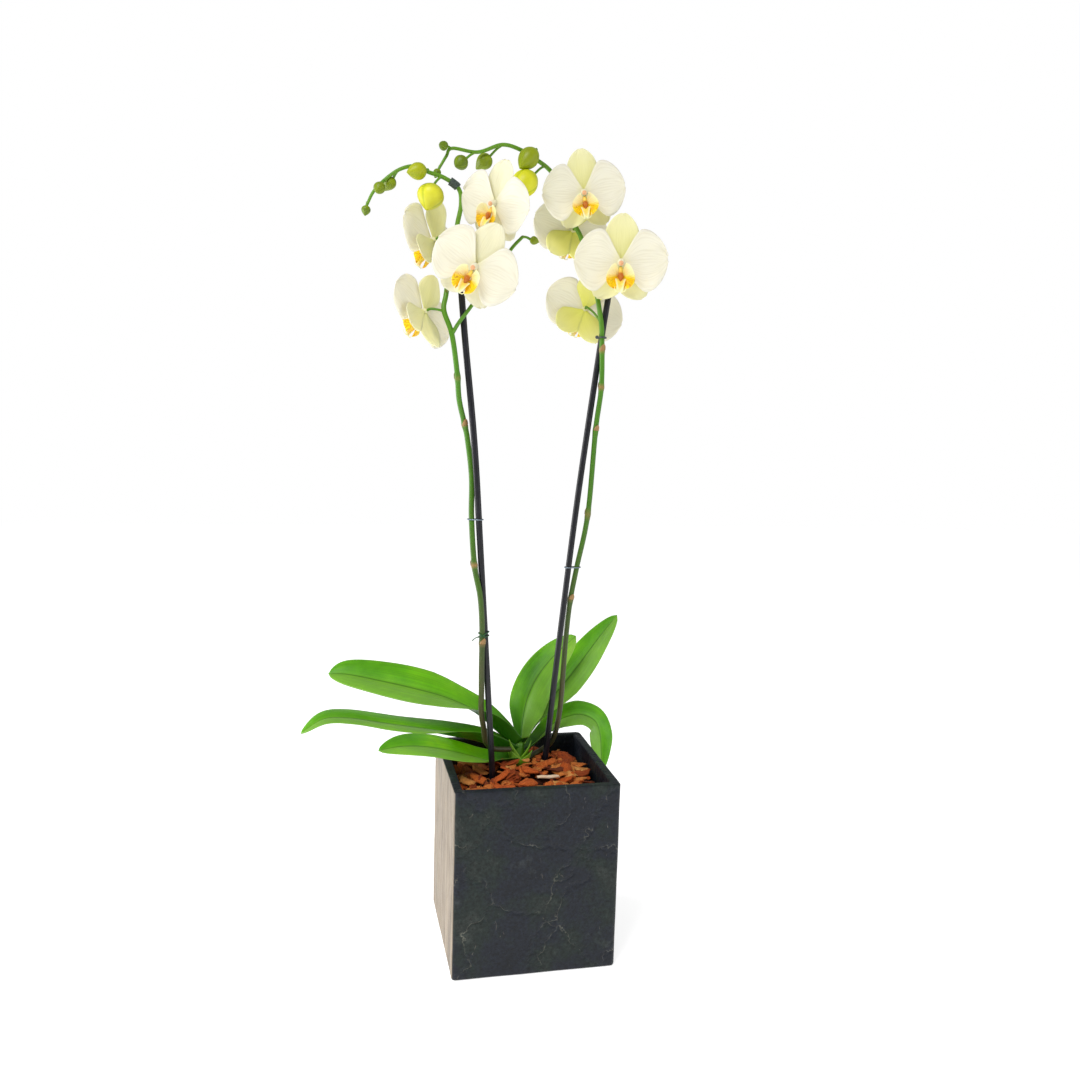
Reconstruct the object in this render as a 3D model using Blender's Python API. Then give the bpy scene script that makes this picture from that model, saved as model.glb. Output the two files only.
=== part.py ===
"""A moth orchid with two flower spikes, growing in bark chips in a square slate-look planter.

Frame: metres, +Z up, origin at the centre of the planter's base, the planter's front wall facing -Y.
"""

import math

import bmesh
import bpy
import numpy as np
from mathutils import Matrix, Vector, noise

GAP = 0.0003  # clearance left between pieces that touch in the real object

# Planter: a square box of cast fibre-clay, open at the top.
PLANTER_SIDE = 0.170
PLANTER_HEIGHT = 0.196
PLANTER_WALL = 0.009
PLANTER_FLOOR = 0.012
PLANTER_CORNER = 0.004
PLANTER_CHAMFER = 0.0008

# Bark: a mounded bed, lower along the walls, with loose chips lying on it.
BARK_HALF = 0.0747
BARK_EDGE_LEVEL = 0.1755
BARK_MOUND = 0.0115
BARK_MOUND_CENTRE = (-0.006, 0.006)
BARK_MOUND_SPREAD = 0.052
BARK_LUMP = 0.0016
BARK_GRID = 10

# Support stakes: plastic-coated steel rods pushed deep into the bark.
STAKE_RADIUS = 0.0033
STAKE_LEFT = [(-0.028, -0.011, 0.100), (-0.035, -0.011, 0.186), (-0.052, -0.010, 0.416),
              (-0.061, -0.009, 0.534), (-0.073, -0.008, 0.643), (-0.081, -0.008, 0.728)]
STAKE_RIGHT = [(0.025, 0.035, 0.100), (0.0335, 0.036, 0.188), (0.0475, 0.040, 0.332), (0.0635, 0.043, 0.484),
               (0.083, 0.046, 0.640), (0.093, 0.047, 0.712)]

# Crown: the short stem that carries every leaf.
CROWN_AXIS = [(0.000, 0.024, 0.170), (0.0005, 0.025, 0.190), (0.001, 0.026, 0.206)]
CROWN_RADII = [0.0080, 0.0072, 0.0045]

# Flower spikes: radius falls from the base to the bud end. Each has thicker rings at its nodes.
SPIKE_BASE_RADIUS = 0.0030
SPIKE_TIP_RADIUS = 0.0014
NODE_SWELL = 0.0007
NODE_LENGTH = 0.004
PEDICEL_RADIUS = 0.0012
SHORTEST_STALK = 0.0035
SPIKE_LEFT = [(-0.0115, 0.0145, 0.2030), (-0.022, 0.010, 0.2050), (-0.033, 0.005, 0.2085),
              (-0.041, 0.001, 0.218), (-0.044, -0.003, 0.233), (-0.048, -0.008, 0.254),
              (-0.049, -0.013, 0.277), (-0.050, -0.0165, 0.305), (-0.0505, -0.0175, 0.345),
              (-0.053, -0.0165, 0.378), (-0.059, -0.012, 0.410), (-0.0622, -0.007, 0.458),
              (-0.0622, -0.002, 0.500), (-0.067, -0.001, 0.538), (-0.071, -0.003, 0.555),
              (-0.077, -0.006, 0.578), (-0.080, -0.009, 0.605), (-0.086, -0.010, 0.642),
              (-0.094, -0.008, 0.665), (-0.0915, -0.003, 0.682), (-0.087, 0.002, 0.714),
              (-0.081, 0.002, 0.750), (-0.0775, 0.002, 0.770), (-0.0805, 0.002, 0.785),
              (-0.095, 0.002, 0.794), (-0.110, 0.002, 0.798), (-0.123, 0.002, 0.8025),
              (-0.137, 0.002, 0.799), (-0.151, 0.002, 0.789), (-0.163, 0.002, 0.776),
              (-0.1697, 0.002, 0.7623)]
SPIKE_LEFT_BRANCH = [(-0.086, -0.010, 0.642), (-0.080, -0.0145, 0.653), (-0.070, -0.0175, 0.667),
                     (-0.050, -0.016, 0.696), (-0.029, -0.012, 0.727), (-0.017, -0.010, 0.7405)]
SPIKE_LEFT_NODES = [0.330, 0.410, 0.553, 0.600]
SPIKE_RIGHT = [(0.0120, 0.0270, 0.1883), (0.0200, 0.0365, 0.1885), (0.0330, 0.0450, 0.1915),
               (0.0425, 0.0455, 0.2000), (0.0475, 0.0440, 0.217), (0.0510, 0.0435, 0.247),
               (0.0545, 0.045, 0.313),
               (0.058, 0.044, 0.359), (0.064, 0.043, 0.398), (0.0745, 0.042, 0.458),
               (0.080, 0.042, 0.550), (0.0845, 0.041, 0.597), (0.083, 0.0395, 0.645),
               (0.081, 0.042, 0.672), (0.0735, 0.055, 0.722), (0.061, 0.060, 0.757),
               (0.054, 0.060, 0.7695), (0.043, 0.060, 0.7995), (0.0245, 0.054, 0.821),
               (0.008, 0.051, 0.831), (-0.009, 0.048, 0.8385), (-0.030, 0.045, 0.8415),
               (-0.056, 0.041, 0.831), (-0.083, 0.037, 0.8315), (-0.089, 0.036, 0.823),
               (-0.0963, 0.035, 0.8102)]
SPIKE_RIGHT_NODES = [0.362, 0.459, 0.548, 0.597, 0.637]

# Flowers: centre, then the way the face looks, in degrees: heading (0 to the front, positive
# towards +X), pitch (positive up), roll (clockwise as seen from its front), and size as a share.
FLOWERS = {
    "flower_left_front": ((-0.0709, -0.055, 0.7017), (-22, -10, 30), 0.98),
    "flower_left_top": ((-0.0509, -0.042, 0.7634), (-46, -6, 16), 0.90),
    "flower_left_side": ((-0.1047, 0.012, 0.7344), (-135, -12, -22), 0.96),
    "flower_left_low": ((-0.1139, 0.000, 0.6632), (-135, -14, -32), 0.95),
    "flower_right_top": ((0.0572, 0.038, 0.7983), (-12, -8, -7), 0.98),
    "flower_right_front": ((0.0946, 0.018, 0.7259), (-16, -8, 0), 1.10),
    "flower_right_back": ((0.0557, 0.080, 0.7658), (-175, -10, -12), 1.00),
    "flower_right_low": ((0.0715, 0.077, 0.6817), (-178, -12, -20), 1.02),
}
LIP_CENTRE = -0.0115  # height of the middle of the cup in the flower's own axes
LIP_RADIUS = 0.0140
LIP_DEPTH = 0.0080
PEDICEL_BOWS = {"flower_left_front": (-0.009, -0.006, 0.008)}
PEDICEL_ROOTS = {
    "flower_left_front": (-0.0915, -0.003, 0.683),
    "flower_left_top": (-0.0775, 0.002, 0.768),
    "flower_left_side": (-0.087, 0.002, 0.717),
    "flower_left_low": (-0.0938, -0.008, 0.664),
    "flower_right_top": (0.0480, 0.060, 0.786),
    "flower_right_front": (0.0780, 0.050, 0.702),
    "flower_right_back": (0.0600, 0.060, 0.760),
    "flower_right_low": (0.0803, 0.0425, 0.668),
}

# Buds: point where the pedicel leaves the spike, bud centre, and bud length and width.
BUDS = {
    "bud_left_1": ((-0.097, 0.002, 0.795), (-0.1091, -0.005, 0.7721), 0.027, 0.0265),
    "bud_left_2": ((-0.113, 0.002, 0.799), (-0.1235, -0.0105, 0.7950), 0.0205, 0.0165),
    "bud_left_3": ((-0.139, 0.002, 0.798), (-0.1480, 0.009, 0.7850), 0.0155, 0.0125),
    "bud_left_4": ((-0.153, 0.002, 0.787), (-0.1585, -0.0065, 0.7770), 0.0140, 0.0115),
    "bud_left_5": ((-0.1690, 0.002, 0.765), (-0.1705, 0.002, 0.7570), 0.0100, 0.0090),
    "bud_left_6": ((-0.0170, -0.010, 0.7405), (-0.0045, -0.010, 0.7375), 0.0095, 0.0085),
    "bud_right_1": ((0.0170, 0.0525, 0.826), (-0.0095, 0.034, 0.8005), 0.0345, 0.0270),
    "bud_right_2": ((0.0080, 0.051, 0.831), (-0.0050, 0.036, 0.8265), 0.029, 0.0210),
    "bud_right_3": ((-0.0300, 0.045, 0.8415), (-0.0486, 0.0525, 0.8240), 0.020, 0.0165),
    "bud_right_4": ((-0.0580, 0.041, 0.831), (-0.0755, 0.030, 0.8160), 0.0160, 0.0150),
    "bud_right_5": ((-0.0840, 0.037, 0.831), (-0.0935, 0.028, 0.8312), 0.0110, 0.0095),
    "bud_right_6": ((-0.0950, 0.035, 0.813), (-0.0985, 0.035, 0.8050), 0.0100, 0.0080),
}
BUD_NODS = {"bud_left_1": (-0.30, -0.25, -0.92), "bud_left_2": (-0.90, -0.35, -0.25),
            "bud_right_1": (-0.68, -0.28, -0.68), "bud_right_2": (-0.60, -0.32, -0.73)}

# Leaves: midrib points from the crown out, half width, the share of it at the shoulder just above
# the sheath, the tilt of the blade about its midrib in degrees near the crown, halfway and near the
# tip (positive turns the upper face to the front), how far the two halves fold up at the sheath and
# in the blade, and the share of the length where the channel has opened.
LEAVES = {
    "leaf_left_upper": ([(-0.0030, 0.0260, 0.2040), (-0.022, 0.0290, 0.2200), (-0.047, 0.035, 0.2410),
                         (-0.080, 0.041, 0.256), (-0.114, 0.046, 0.2655), (-0.145, 0.051, 0.2725),
                         (-0.184, 0.056, 0.2805), (-0.205, 0.058, 0.2815)],
                        0.0275, 0.70, (-8, 30, 36), (66, 14), 0.36),
    "leaf_left_lower": ([(-0.0030, 0.0250, 0.1950), (-0.022, 0.0265, 0.2020), (-0.045, 0.030, 0.2105),
                         (-0.078, 0.031, 0.2185), (-0.110, 0.027, 0.2270), (-0.147, 0.020, 0.2360),
                         (-0.183, 0.012, 0.2455), (-0.210, 0.006, 0.2475),
                         (-0.233, 0.000, 0.2350)], 0.0230, 0.72, (-6, 2, 4), (64, 6), 0.50),
    "leaf_left_front": ([(-0.0045, 0.0205, 0.1885), (-0.020, 0.016, 0.1900), (-0.040, 0.010, 0.1945),
                         (-0.0625, -0.004, 0.2060), (-0.0895, -0.022, 0.219), (-0.1135, -0.034, 0.2275),
                         (-0.1355, -0.042, 0.231), (-0.157, -0.048, 0.2300)],
                        0.0205, 0.66, (6, 18, 22), (42, 8), 0.45),
    "leaf_centre": ([(0.0030, 0.0275, 0.2100), (0.0075, 0.0420, 0.2270), (0.0150, 0.056, 0.2474),
                     (0.0285, 0.066, 0.2698), (0.0500, 0.076, 0.2914),
                     (0.0774, 0.086, 0.3110)], 0.0245, 0.88, (12, 36, 44), (50, 14), 0.36),
    "leaf_right_upper": ([(0.0040, 0.0290, 0.2010), (0.0200, 0.0520, 0.2165), (0.0400, 0.0730, 0.2330),
                          (0.0643, 0.089, 0.2520), (0.0872, 0.100, 0.2749), (0.1100, 0.110, 0.3000),
                          (0.1369, 0.120, 0.3280)], 0.0205, 0.62, (8, 28, 34), (56, 18), 0.40),
    "leaf_right_lower": ([(0.0040, 0.0270, 0.1930), (0.0215, 0.0420, 0.2000), (0.0390, 0.058, 0.2090),
                          (0.0563, 0.069, 0.2165), (0.0812, 0.075, 0.2200), (0.1010, 0.077, 0.2110),
                          (0.1075, 0.075, 0.1950), (0.1085, 0.071, 0.1777),
                          (0.1080, 0.064, 0.1532)], 0.0195, 0.50, (2, 22, 74), (50, 8), 0.30),
}
LEAF_THICKNESS = 0.0016
KEEL = 1.3  # thickness along the midrib, as a share
SHEATH_SHARE = 0.38
SHEATH_ROWS = 2  # route points of each leaf that belong to its sheath, which is part of the crown

# Ties that hold each spike to its stake: which side, height, wire radius, finish.
TIES = {
    "tie_left_band": ("left", 0.4570, 0.0006, "tie_wire"),
    "tie_left_twist": ("left", 0.3380, 0.0005, "twist_tie"),
    "tie_right_band": ("right", 0.3990, 0.0006, "tie_wire"),
    "tie_right_clip": ("right", 0.6500, 0.0009, "clip_plastic"),
}
COLLAR_INNER = 0.0030
COLLAR_OUTER = 0.0041
COLLAR_SPAN = (0.7855, 0.7915)
COLLAR_FROM = 22  # the point of the left spike's route where the sleeve's stretch starts

# Loose chips on the bed: centre x, y, length, width, thickness, turn and lean in degrees.
CHIPS = [
    (-0.056, -0.052, 0.022, 0.015, 0.0030, 20, 8),
    (-0.029, -0.053, 0.025, 0.016, 0.0032, -35, -6),
    (-0.004, -0.048, 0.026, 0.018, 0.0030, 60, 7),
    (0.004, -0.018, 0.020, 0.014, 0.0028, -15, 10),
    (0.046, -0.006, 0.021, 0.015, 0.0030, 75, -8),
    (0.044, -0.056, 0.024, 0.014, 0.0030, 10, 5),
    (0.030, 0.004, 0.018, 0.013, 0.0028, 40, -7),
    (-0.052, 0.052, 0.022, 0.015, 0.0030, -50, 6),
    (0.020, -0.058, 0.020, 0.014, 0.0028, -70, 6),
]
WOOD_STICK = (0.0215, -0.030, 0.026, 0.0055, 0.0035, 14, 6)


def clear_scene():
    for thing in list(bpy.data.objects):
        bpy.data.objects.remove(thing, do_unlink=True)


def finish(name, colour, roughness, metallic=0.0):
    made = bpy.data.materials.new(name)
    made.use_nodes = True
    shader = made.node_tree.nodes["Principled BSDF"]
    shader.inputs["Base Color"].default_value = (*colour, 1.0)
    shader.inputs["Roughness"].default_value = roughness
    shader.inputs["Metallic"].default_value = metallic
    return made


def add_object(name, points, faces, material=None, smooth=True):
    """A mesh object with its faces turned outwards."""
    mesh = bpy.data.meshes.new(name)
    mesh.from_pydata([tuple(p) for p in points], [], faces)
    work = bmesh.new()
    work.from_mesh(mesh)
    bmesh.ops.recalc_face_normals(work, faces=work.faces)
    work.to_mesh(mesh)
    work.free()
    for face in mesh.polygons:
        face.use_smooth = smooth
    made = bpy.data.objects.new(name, mesh)
    bpy.context.scene.collection.objects.link(made)
    if material:
        mesh.materials.append(material)
    return made


def combine(base, others, operation):
    """The base object with each of the others joined to it, or cut from it. The others are used up."""
    for other in others:
        step = base.modifiers.new("step", "BOOLEAN")
        step.operation = operation
        step.solver = "EXACT"
        step.object = other
    bpy.context.view_layer.update()
    graph = bpy.context.evaluated_depsgraph_get()
    mesh = bpy.data.meshes.new_from_object(base.evaluated_get(graph))
    base.modifiers.clear()
    base.data = mesh
    for other in others:
        bpy.data.objects.remove(other, do_unlink=True)
    return base


def smooth_route(points, steps=3):
    """Catmull-Rom points through the given ones."""
    given = [Vector(p) for p in points]
    ends = [given[0] * 2 - given[1]] + given + [given[-1] * 2 - given[-2]]
    route = []
    for i in range(1, len(ends) - 2):
        a, b, c, d = ends[i - 1:i + 3]
        for k in range(steps):
            t = k / steps
            route.append(0.5 * (2 * b + (c - a) * t + (2 * a - 5 * b + 4 * c - d) * t * t
                                + (3 * b - a - 3 * c + d) * t ** 3))
    route.append(given[-1])
    return route


def frames_along(route):
    """Unit tangent and two sideways directions at each point, turning as little as possible."""
    frames = []
    side = None
    for i, point in enumerate(route):
        ahead = route[min(i + 1, len(route) - 1)] - route[max(i - 1, 0)]
        ahead.normalize()
        if side is None:
            side = ahead.orthogonal().normalized()
        side = (side - ahead * side.dot(ahead)).normalized()
        frames.append((ahead, side, ahead.cross(side)))
    return frames


def ring(centre, across, up, radius, sides):
    turns = [2 * math.pi * k / sides for k in range(sides)]
    return [centre + across * (radius * math.cos(a)) + up * (radius * math.sin(a)) for a in turns]


def loft(rings, close_ends=True):
    """Points and faces of a skin through rings of equal count."""
    count = len(rings[0])
    points = [p for one in rings for p in one]
    faces = []
    for i in range(len(rings) - 1):
        for k in range(count):
            a, b = i * count + k, i * count + (k + 1) % count
            faces.append((a, b, b + count, a + count))
    if close_ends:
        faces.append(tuple(range(count))[::-1])
        faces.append(tuple(range((len(rings) - 1) * count, len(rings) * count)))
    return points, faces


def tube(route, radii, sides=8):
    frames = frames_along(route)
    return loft([ring(p, f[1], f[2], r, sides) for p, f, r in zip(route, frames, radii)])


def closed_wire(path, radius, sides=5):
    """A wire bent into a closed loop."""
    count = len(path)
    middle = sum(path, Vector()) / count
    rings = []
    for i, point in enumerate(path):
        ahead = (path[(i + 1) % count] - path[i - 1]).normalized()
        out = point - middle
        out = (out - ahead * out.dot(ahead)).normalized()
        rings.append(ring(point, out, ahead.cross(out), radius, sides))
    points, faces = loft(rings, close_ends=False)
    last = (count - 1) * sides
    for k in range(sides):
        faces.append((last + k, last + (k + 1) % sides, (k + 1) % sides, k))
    return points, faces


def sheet(front, back):
    """A closed skin over two grids of points that face each other."""
    rows, columns = len(front), len(front[0])
    points = [p for row in front for p in row] + [p for row in back for p in row]
    under = rows * columns
    faces = []
    for i in range(rows - 1):
        for j in range(columns - 1):
            a = i * columns + j
            quad = (a, a + 1, a + columns + 1, a + columns)
            faces.append(quad)
            faces.append(tuple(under + v for v in reversed(quad)))
    border = [(0, j) for j in range(columns)] + [(i, columns - 1) for i in range(1, rows)]
    border += [(rows - 1, j) for j in range(columns - 2, -1, -1)]
    border += [(i, 0) for i in range(rows - 2, 0, -1)]
    edge = [i * columns + j for i, j in border]
    for a, b in zip(edge, edge[1:] + edge[:1]):
        faces.append((b, a, under + a, under + b))
    return points, faces


def outline(s, widest, base, fullness):
    """Half width of a petal or leaf as a share of its largest, at share s of its length."""
    power = math.log(0.5) / math.log(widest)
    swell = math.sin(math.pi * min(max(s, 0.0), 1.0) ** power) ** fullness
    claw = min(s / widest, 1.0)
    return swell * (base + (1 - base) * claw * claw * (3 - 2 * claw))


def tepal(angle, length, half_width, widest, base, depth, cup, sweep, columns, thickness=0.0009):
    """A petal or sepal in the flower's own axes: +X right, +Y up, +Z the way it faces."""
    along = Vector((math.cos(math.radians(angle)), math.sin(math.radians(angle)), 0))
    across = Vector((-along.y, along.x, 0))
    face = Vector((0, 0, 1))
    rows = 6
    front = []
    for i in range(rows):
        s = 0.03 + 0.955 * (1 - math.cos(math.pi * i / (rows - 1))) / 2
        width = half_width * outline(s, widest, base, 0.55)
        row = []
        for j in range(columns):
            t = 2 * j / (columns - 1) - 1
            lift = depth + sweep * s * s + cup * t * t * width / half_width
            row.append(along * (s * length) + across * (t * width) + face * lift)
        front.append(row)
    back = [[p - face * thickness for p in row] for row in front]
    return sheet(front, back)


def flower_tepals():
    """Three sepals behind two broad petals, joined at the base of the column."""
    parts = [
        (90, 0.0460, 0.0165, 0.52, 0.45, -0.0022, 0.0012, -0.0040, 4),
        (234, 0.0400, 0.0155, 0.52, 0.45, -0.0024, 0.0015, -0.0070, 4),
        (306, 0.0400, 0.0155, 0.52, 0.45, -0.0024, 0.0015, -0.0070, 4),
        (174, 0.0450, 0.0290, 0.50, 0.50, 0.0012, 0.0016, -0.0008, 5),
        (6, 0.0450, 0.0290, 0.50, 0.50, 0.0012, 0.0016, -0.0008, 5),
    ]
    pieces = [add_object("tepal", *tepal(*spec)) for spec in parts]
    route = [Vector((0, 0.0005, -0.0050)), Vector((0, 0.0008, 0.0)), Vector((0, 0.0006, 0.0060)),
             Vector((0, -0.0008, 0.0095))]
    column = add_object("column", *tube(route, [0.0022, 0.0036, 0.0030, 0.0018], 8))
    return combine(column, pieces, "UNION")


def flower_lip():
    """The lip: two side lobes that form an open cup, a callus, and a narrow middle lobe below."""
    middle = Vector((0, LIP_CENTRE, 0))
    pieces = []
    for way in (-1, 1):
        front = []
        for i in range(6):
            turn = math.radians(-70 + 138 * i / 5)
            row = []
            for j in range(4):
                out = 0.0030 + (LIP_RADIUS - 0.0030) * j / 3
                lift = 0.0050 + LIP_DEPTH * (out / LIP_RADIUS) ** 1.6
                row.append(middle + Vector((way * out * math.cos(turn), out * math.sin(turn), lift)))
            front.append(row)
        back = [[p + Vector((0, 0, -0.0009)) for p in row] for row in front]
        pieces.append(add_object("lobe", *sheet(front, back)))
    tongue = []
    for i in range(5):
        s = i / 4
        width = 0.0042 * (1 - 0.80 * s) + 0.0008
        centre = Vector((0, -0.0145 - 0.0120 * s, 0.0078 + 0.0065 * math.sin(1.9 * s)))
        tongue.append([centre + Vector((t * width, 0, -0.0012 * abs(t))) for t in (-1, 0, 1)])
    under = [[p + Vector((0, 0.0002, -0.0011)) for p in row] for row in tongue]
    pieces.append(add_object("tongue", *sheet(tongue, under)))
    route = [Vector((0, -0.0050, 0.0050)), Vector((0, -0.0090, 0.0068)), Vector((0, -0.0130, 0.0088)),
             Vector((0, -0.0168, 0.0098))]
    callus = add_object("callus", *tube(route, [0.0018, 0.0024, 0.0034, 0.0012], 7))
    for piece in pieces:
        callus = combine(callus, [piece], "UNION")
    return callus


def facing(centre, angles, size):
    """The matrix that puts a flower drawn in its own axes into place."""
    heading, pitch, roll = (math.radians(a) for a in angles)
    level = math.cos(pitch)
    face = Vector((math.sin(heading) * level, -math.cos(heading) * level, math.sin(pitch)))
    right = Vector((math.cos(heading), math.sin(heading), 0))
    up = face.cross(right)
    across = right * math.cos(roll) - up * math.sin(roll)
    upright = up * math.cos(roll) + right * math.sin(roll)
    turn = Matrix((across, upright, face)).transposed().to_4x4()
    return Matrix.Translation(centre) @ turn @ Matrix.Scale(size, 4)


def place_flowers(tepal_finish, lip_finish):
    tepals, lip = flower_tepals(), flower_lip()
    for name, (centre, angles, size) in FLOWERS.items():
        matrix = facing(Vector(centre), angles, size)
        for source, kind, material in ((tepals, "tepals", tepal_finish), (lip, "lip", lip_finish)):
            points = [matrix @ v.co for v in source.data.vertices]
            faces = [tuple(face.vertices) for face in source.data.polygons]
            add_object(f"{name}_{kind}", points, faces, material)
    bpy.data.objects.remove(tepals, do_unlink=True)
    bpy.data.objects.remove(lip, do_unlink=True)


def bud_shape(start, tip, width, sides=9, rows=5):
    """An egg of three closed sepals, with a shallow groove at each seam."""
    axis = tip - start
    side = axis.orthogonal().normalized()
    up = axis.normalized().cross(side)
    rings = []
    for i in range(rows + 1):
        s = i / rows
        t = 0.03 + 0.94 * s
        radius = width / 2 * math.sin(math.pi * t ** 0.75) ** (0.62 + 0.33 * t)
        one = []
        for k in range(sides):
            a = 2 * math.pi * k / sides
            r = radius * (1 - 0.05 * (0.5 + 0.5 * math.cos(3 * a)))
            one.append(start + axis * s + side * (r * math.cos(a)) + up * (r * math.sin(a)))
        rings.append(one)
    return loft(rings)


def bud_ends(name):
    """Where a bud starts and ends: along the line from its root, or the way it nods."""
    root, centre, length, width = BUDS[name]
    away = Vector(BUD_NODS.get(name, Vector(centre) - Vector(root))).normalized()
    return Vector(centre) - away * (length / 2), Vector(centre) + away * (length / 2)


def spike_radius(share, height, node_heights):
    radius = SPIKE_BASE_RADIUS + (SPIKE_TIP_RADIUS - SPIKE_BASE_RADIUS) * share ** 2.5
    for level in node_heights:
        radius += NODE_SWELL * math.exp(-((height - level) / NODE_LENGTH) ** 2)
    return radius


def pedicel(points):
    """A thin stalk from the spike to the back of a flower or the foot of a bud."""
    route = smooth_route(points, 2)
    return add_object("pedicel", *tube(route, [PEDICEL_RADIUS] * len(route), 6))


def flower_stalk(name):
    """Leaves the spike sideways and turns to meet its flower squarely from behind."""
    centre, angles, size = FLOWERS[name]
    matrix = facing(Vector(centre), angles, size)
    behind = matrix.to_3x3().col[2].normalized() * -1
    end = matrix @ Vector((0, 0.0005, -0.0050)) + behind * 3 * GAP
    root = Vector(PEDICEL_ROOTS[name])
    turn = end + behind * 0.0045
    bow = Vector(PEDICEL_BOWS.get(name, behind * 0.10 * (turn - root).length))
    return pedicel([root, (root + turn) / 2 + bow, turn, end])


def bud_stalk(name):
    """None where the bud sits at the very end of its spike. It meets a nodding bud squarely."""
    root = Vector(BUDS[name][0])
    start, tip = bud_ends(name)
    away = (tip - start).normalized()
    if (start - root).length < SHORTEST_STALK:
        return None
    if name in BUD_NODS:
        turn, end = start - away * 0.0030, start - away * 2 * GAP
        return pedicel([root, (root + turn) / 2 + Vector((0, 0, 0.0008)), turn, end])
    end = start - away * GAP
    return pedicel([root, (root + end) / 2 + Vector((0, 0, 0.0008)), end])


def build_spike(name, points, node_heights, branch, flowers, buds, material):
    route = smooth_route(points, 2)
    last = len(route) - 1
    radii = [spike_radius(i / last, p.z, node_heights) for i, p in enumerate(route)]
    main = add_object(name, *tube(route, radii, 7), material)
    extra = []
    if branch:
        arm = smooth_route(branch, 2)
        thins = [0.0020 - 0.0004 * i / len(arm) for i in range(len(arm))]
        extra.append(add_object("branch", *tube(arm, thins, 7)))
    extra += [flower_stalk(flower) for flower in flowers]
    extra += [stalk for stalk in map(bud_stalk, buds) if stalk]
    return combine(main, extra, "UNION")


def leaf_rows(points, half_width, shoulder, tilts, folds, opens_at):
    """Rows of points across the upper and under face of a leaf, and the way it heads at each row.

    It is a deep channel where it clasps the crown, then opens into a flatter blade.
    """
    route = smooth_route(points, 2)
    last = len(route) - 1
    way = 1 if points[-1][0] < 0 else -1
    rows = []
    for i, point in enumerate(route):
        s = i / last
        ahead = (route[min(i + 1, last)] - route[max(i - 1, 0)]).normalized()
        if i == 0:
            side = way * Vector((0, 0, 1)).cross(ahead)
        side = (side - ahead * side.dot(ahead)).normalized()
        up = way * ahead.cross(side)
        lean = math.radians(np.interp(s, (0.15, 0.50, 0.85), tilts))
        across = side * math.cos(lean) - up * math.sin(lean)
        above = up * math.cos(lean) + side * math.sin(lean)
        width = half_width * leaf_width(s, shoulder)
        crease = math.radians(np.interp(s, (0.12, opens_at), folds))
        front, back = [], []
        for t in (-1, -0.5, 0, 0.5, 1):
            wing = across * (t * math.cos(crease)) + above * (abs(t) * math.sin(crease))
            out = above * math.cos(crease) - across * math.copysign(math.sin(crease), t)
            out = out if t else above * KEEL
            front.append(point + wing * width)
            back.append(point + wing * width - out * LEAF_THICKNESS)
        rows.append((front, back, ahead))
    return rows


def leaf_width(s, shoulder):
    """Half width as a share of the largest: a clasping base, a broad blade and a blunt tip."""
    base = SHEATH_SHARE + (shoulder - SHEATH_SHARE) * min(s / 0.14, 1.0)
    swell = min(max((s - 0.14) / 0.38, 0.0), 1.0)
    blade = base + (1 - shoulder) * swell * swell * (3 - 2 * swell)
    end = max((s - 0.55) / 0.45, 0.0)
    return blade * max(1 - end ** 2.0, 0.02) ** 0.62


def build_crown(sheath_rows, material):
    """The short stem, joined to the sheath at the foot of every leaf."""
    core = add_object("crown", *tube([Vector(p) for p in CROWN_AXIS], CROWN_RADII, 10), material)
    for rows in sheath_rows:
        sheath = add_object("sheath", *sheet([row[0] for row in rows], [row[1] for row in rows]))
        core = combine(core, [sheath], "UNION")
    return core


def build_leaf(name, rows, material):
    """A blade, starting a clear gap beyond its sheath."""
    shift = [row[2] * GAP if i == 0 else Vector() for i, row in enumerate(rows)]
    front = [[p + move for p in row[0]] for row, move in zip(rows, shift)]
    back = [[p + move for p in row[1]] for row, move in zip(rows, shift)]
    return add_object(name, *sheet(front, back), material)


def bark_level(x, y):
    """Height of the top of the bark bed."""
    away = math.hypot(x - BARK_MOUND_CENTRE[0], y - BARK_MOUND_CENTRE[1])
    mound = BARK_MOUND * math.exp(-(away / BARK_MOUND_SPREAD) ** 2)
    lumps = BARK_LUMP * noise.noise(Vector((x * 90, y * 90, 0.4)))
    return BARK_EDGE_LEVEL + mound + lumps


def build_bark(material, cutters):
    side = [BARK_HALF * (2 * i / BARK_GRID - 1) for i in range(BARK_GRID + 1)]
    floor = PLANTER_FLOOR + GAP
    top = [[Vector((x, y, bark_level(x, y))) for x in side] for y in side]
    bottom = [[Vector((x, y, floor)) for x in side] for y in side]
    bed = add_object("bark_bed", *sheet(top, bottom), material, smooth=False)
    return combine(bed, cutters, "DIFFERENCE")


def chip_solid(name, spec, material, jagged=True):
    """A split chip of bark that lies on the bed, a little bowed and broken at the ends."""
    x, y, length, width, thickness, turn, lean = spec
    spin = Matrix.Rotation(math.radians(turn), 4, "Z") @ Matrix.Rotation(math.radians(lean), 4, "Y")
    top, bottom = [], []
    for i in range(5):
        s = i / 4 - 0.5
        row = []
        for j in range(4):
            t = j / 3 - 0.5
            ragged = 0.16 * noise.noise(Vector((x * 400 + 3 * s, y * 400 + 3 * t, 1.7))) if jagged else 0.0
            taper = 1 - 0.35 * abs(2 * s) ** 2 + ragged
            bow = 0.10 * width * (1 - (2 * t) ** 2)
            row.append(Vector((s * length * (1 + ragged), t * width * taper, bow)))
        top.append(row)
        bottom.append([p - Vector((0, 0, thickness)) for p in row])
    points, faces = sheet(top, bottom)
    turned = [spin @ p for p in points]
    lift = max(bark_level(x + p.x, y + p.y) + 0.0009 - p.z for p in turned)
    return add_object(name, [p + Vector((x, y, lift)) for p in turned], faces, material, smooth=False)


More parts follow.
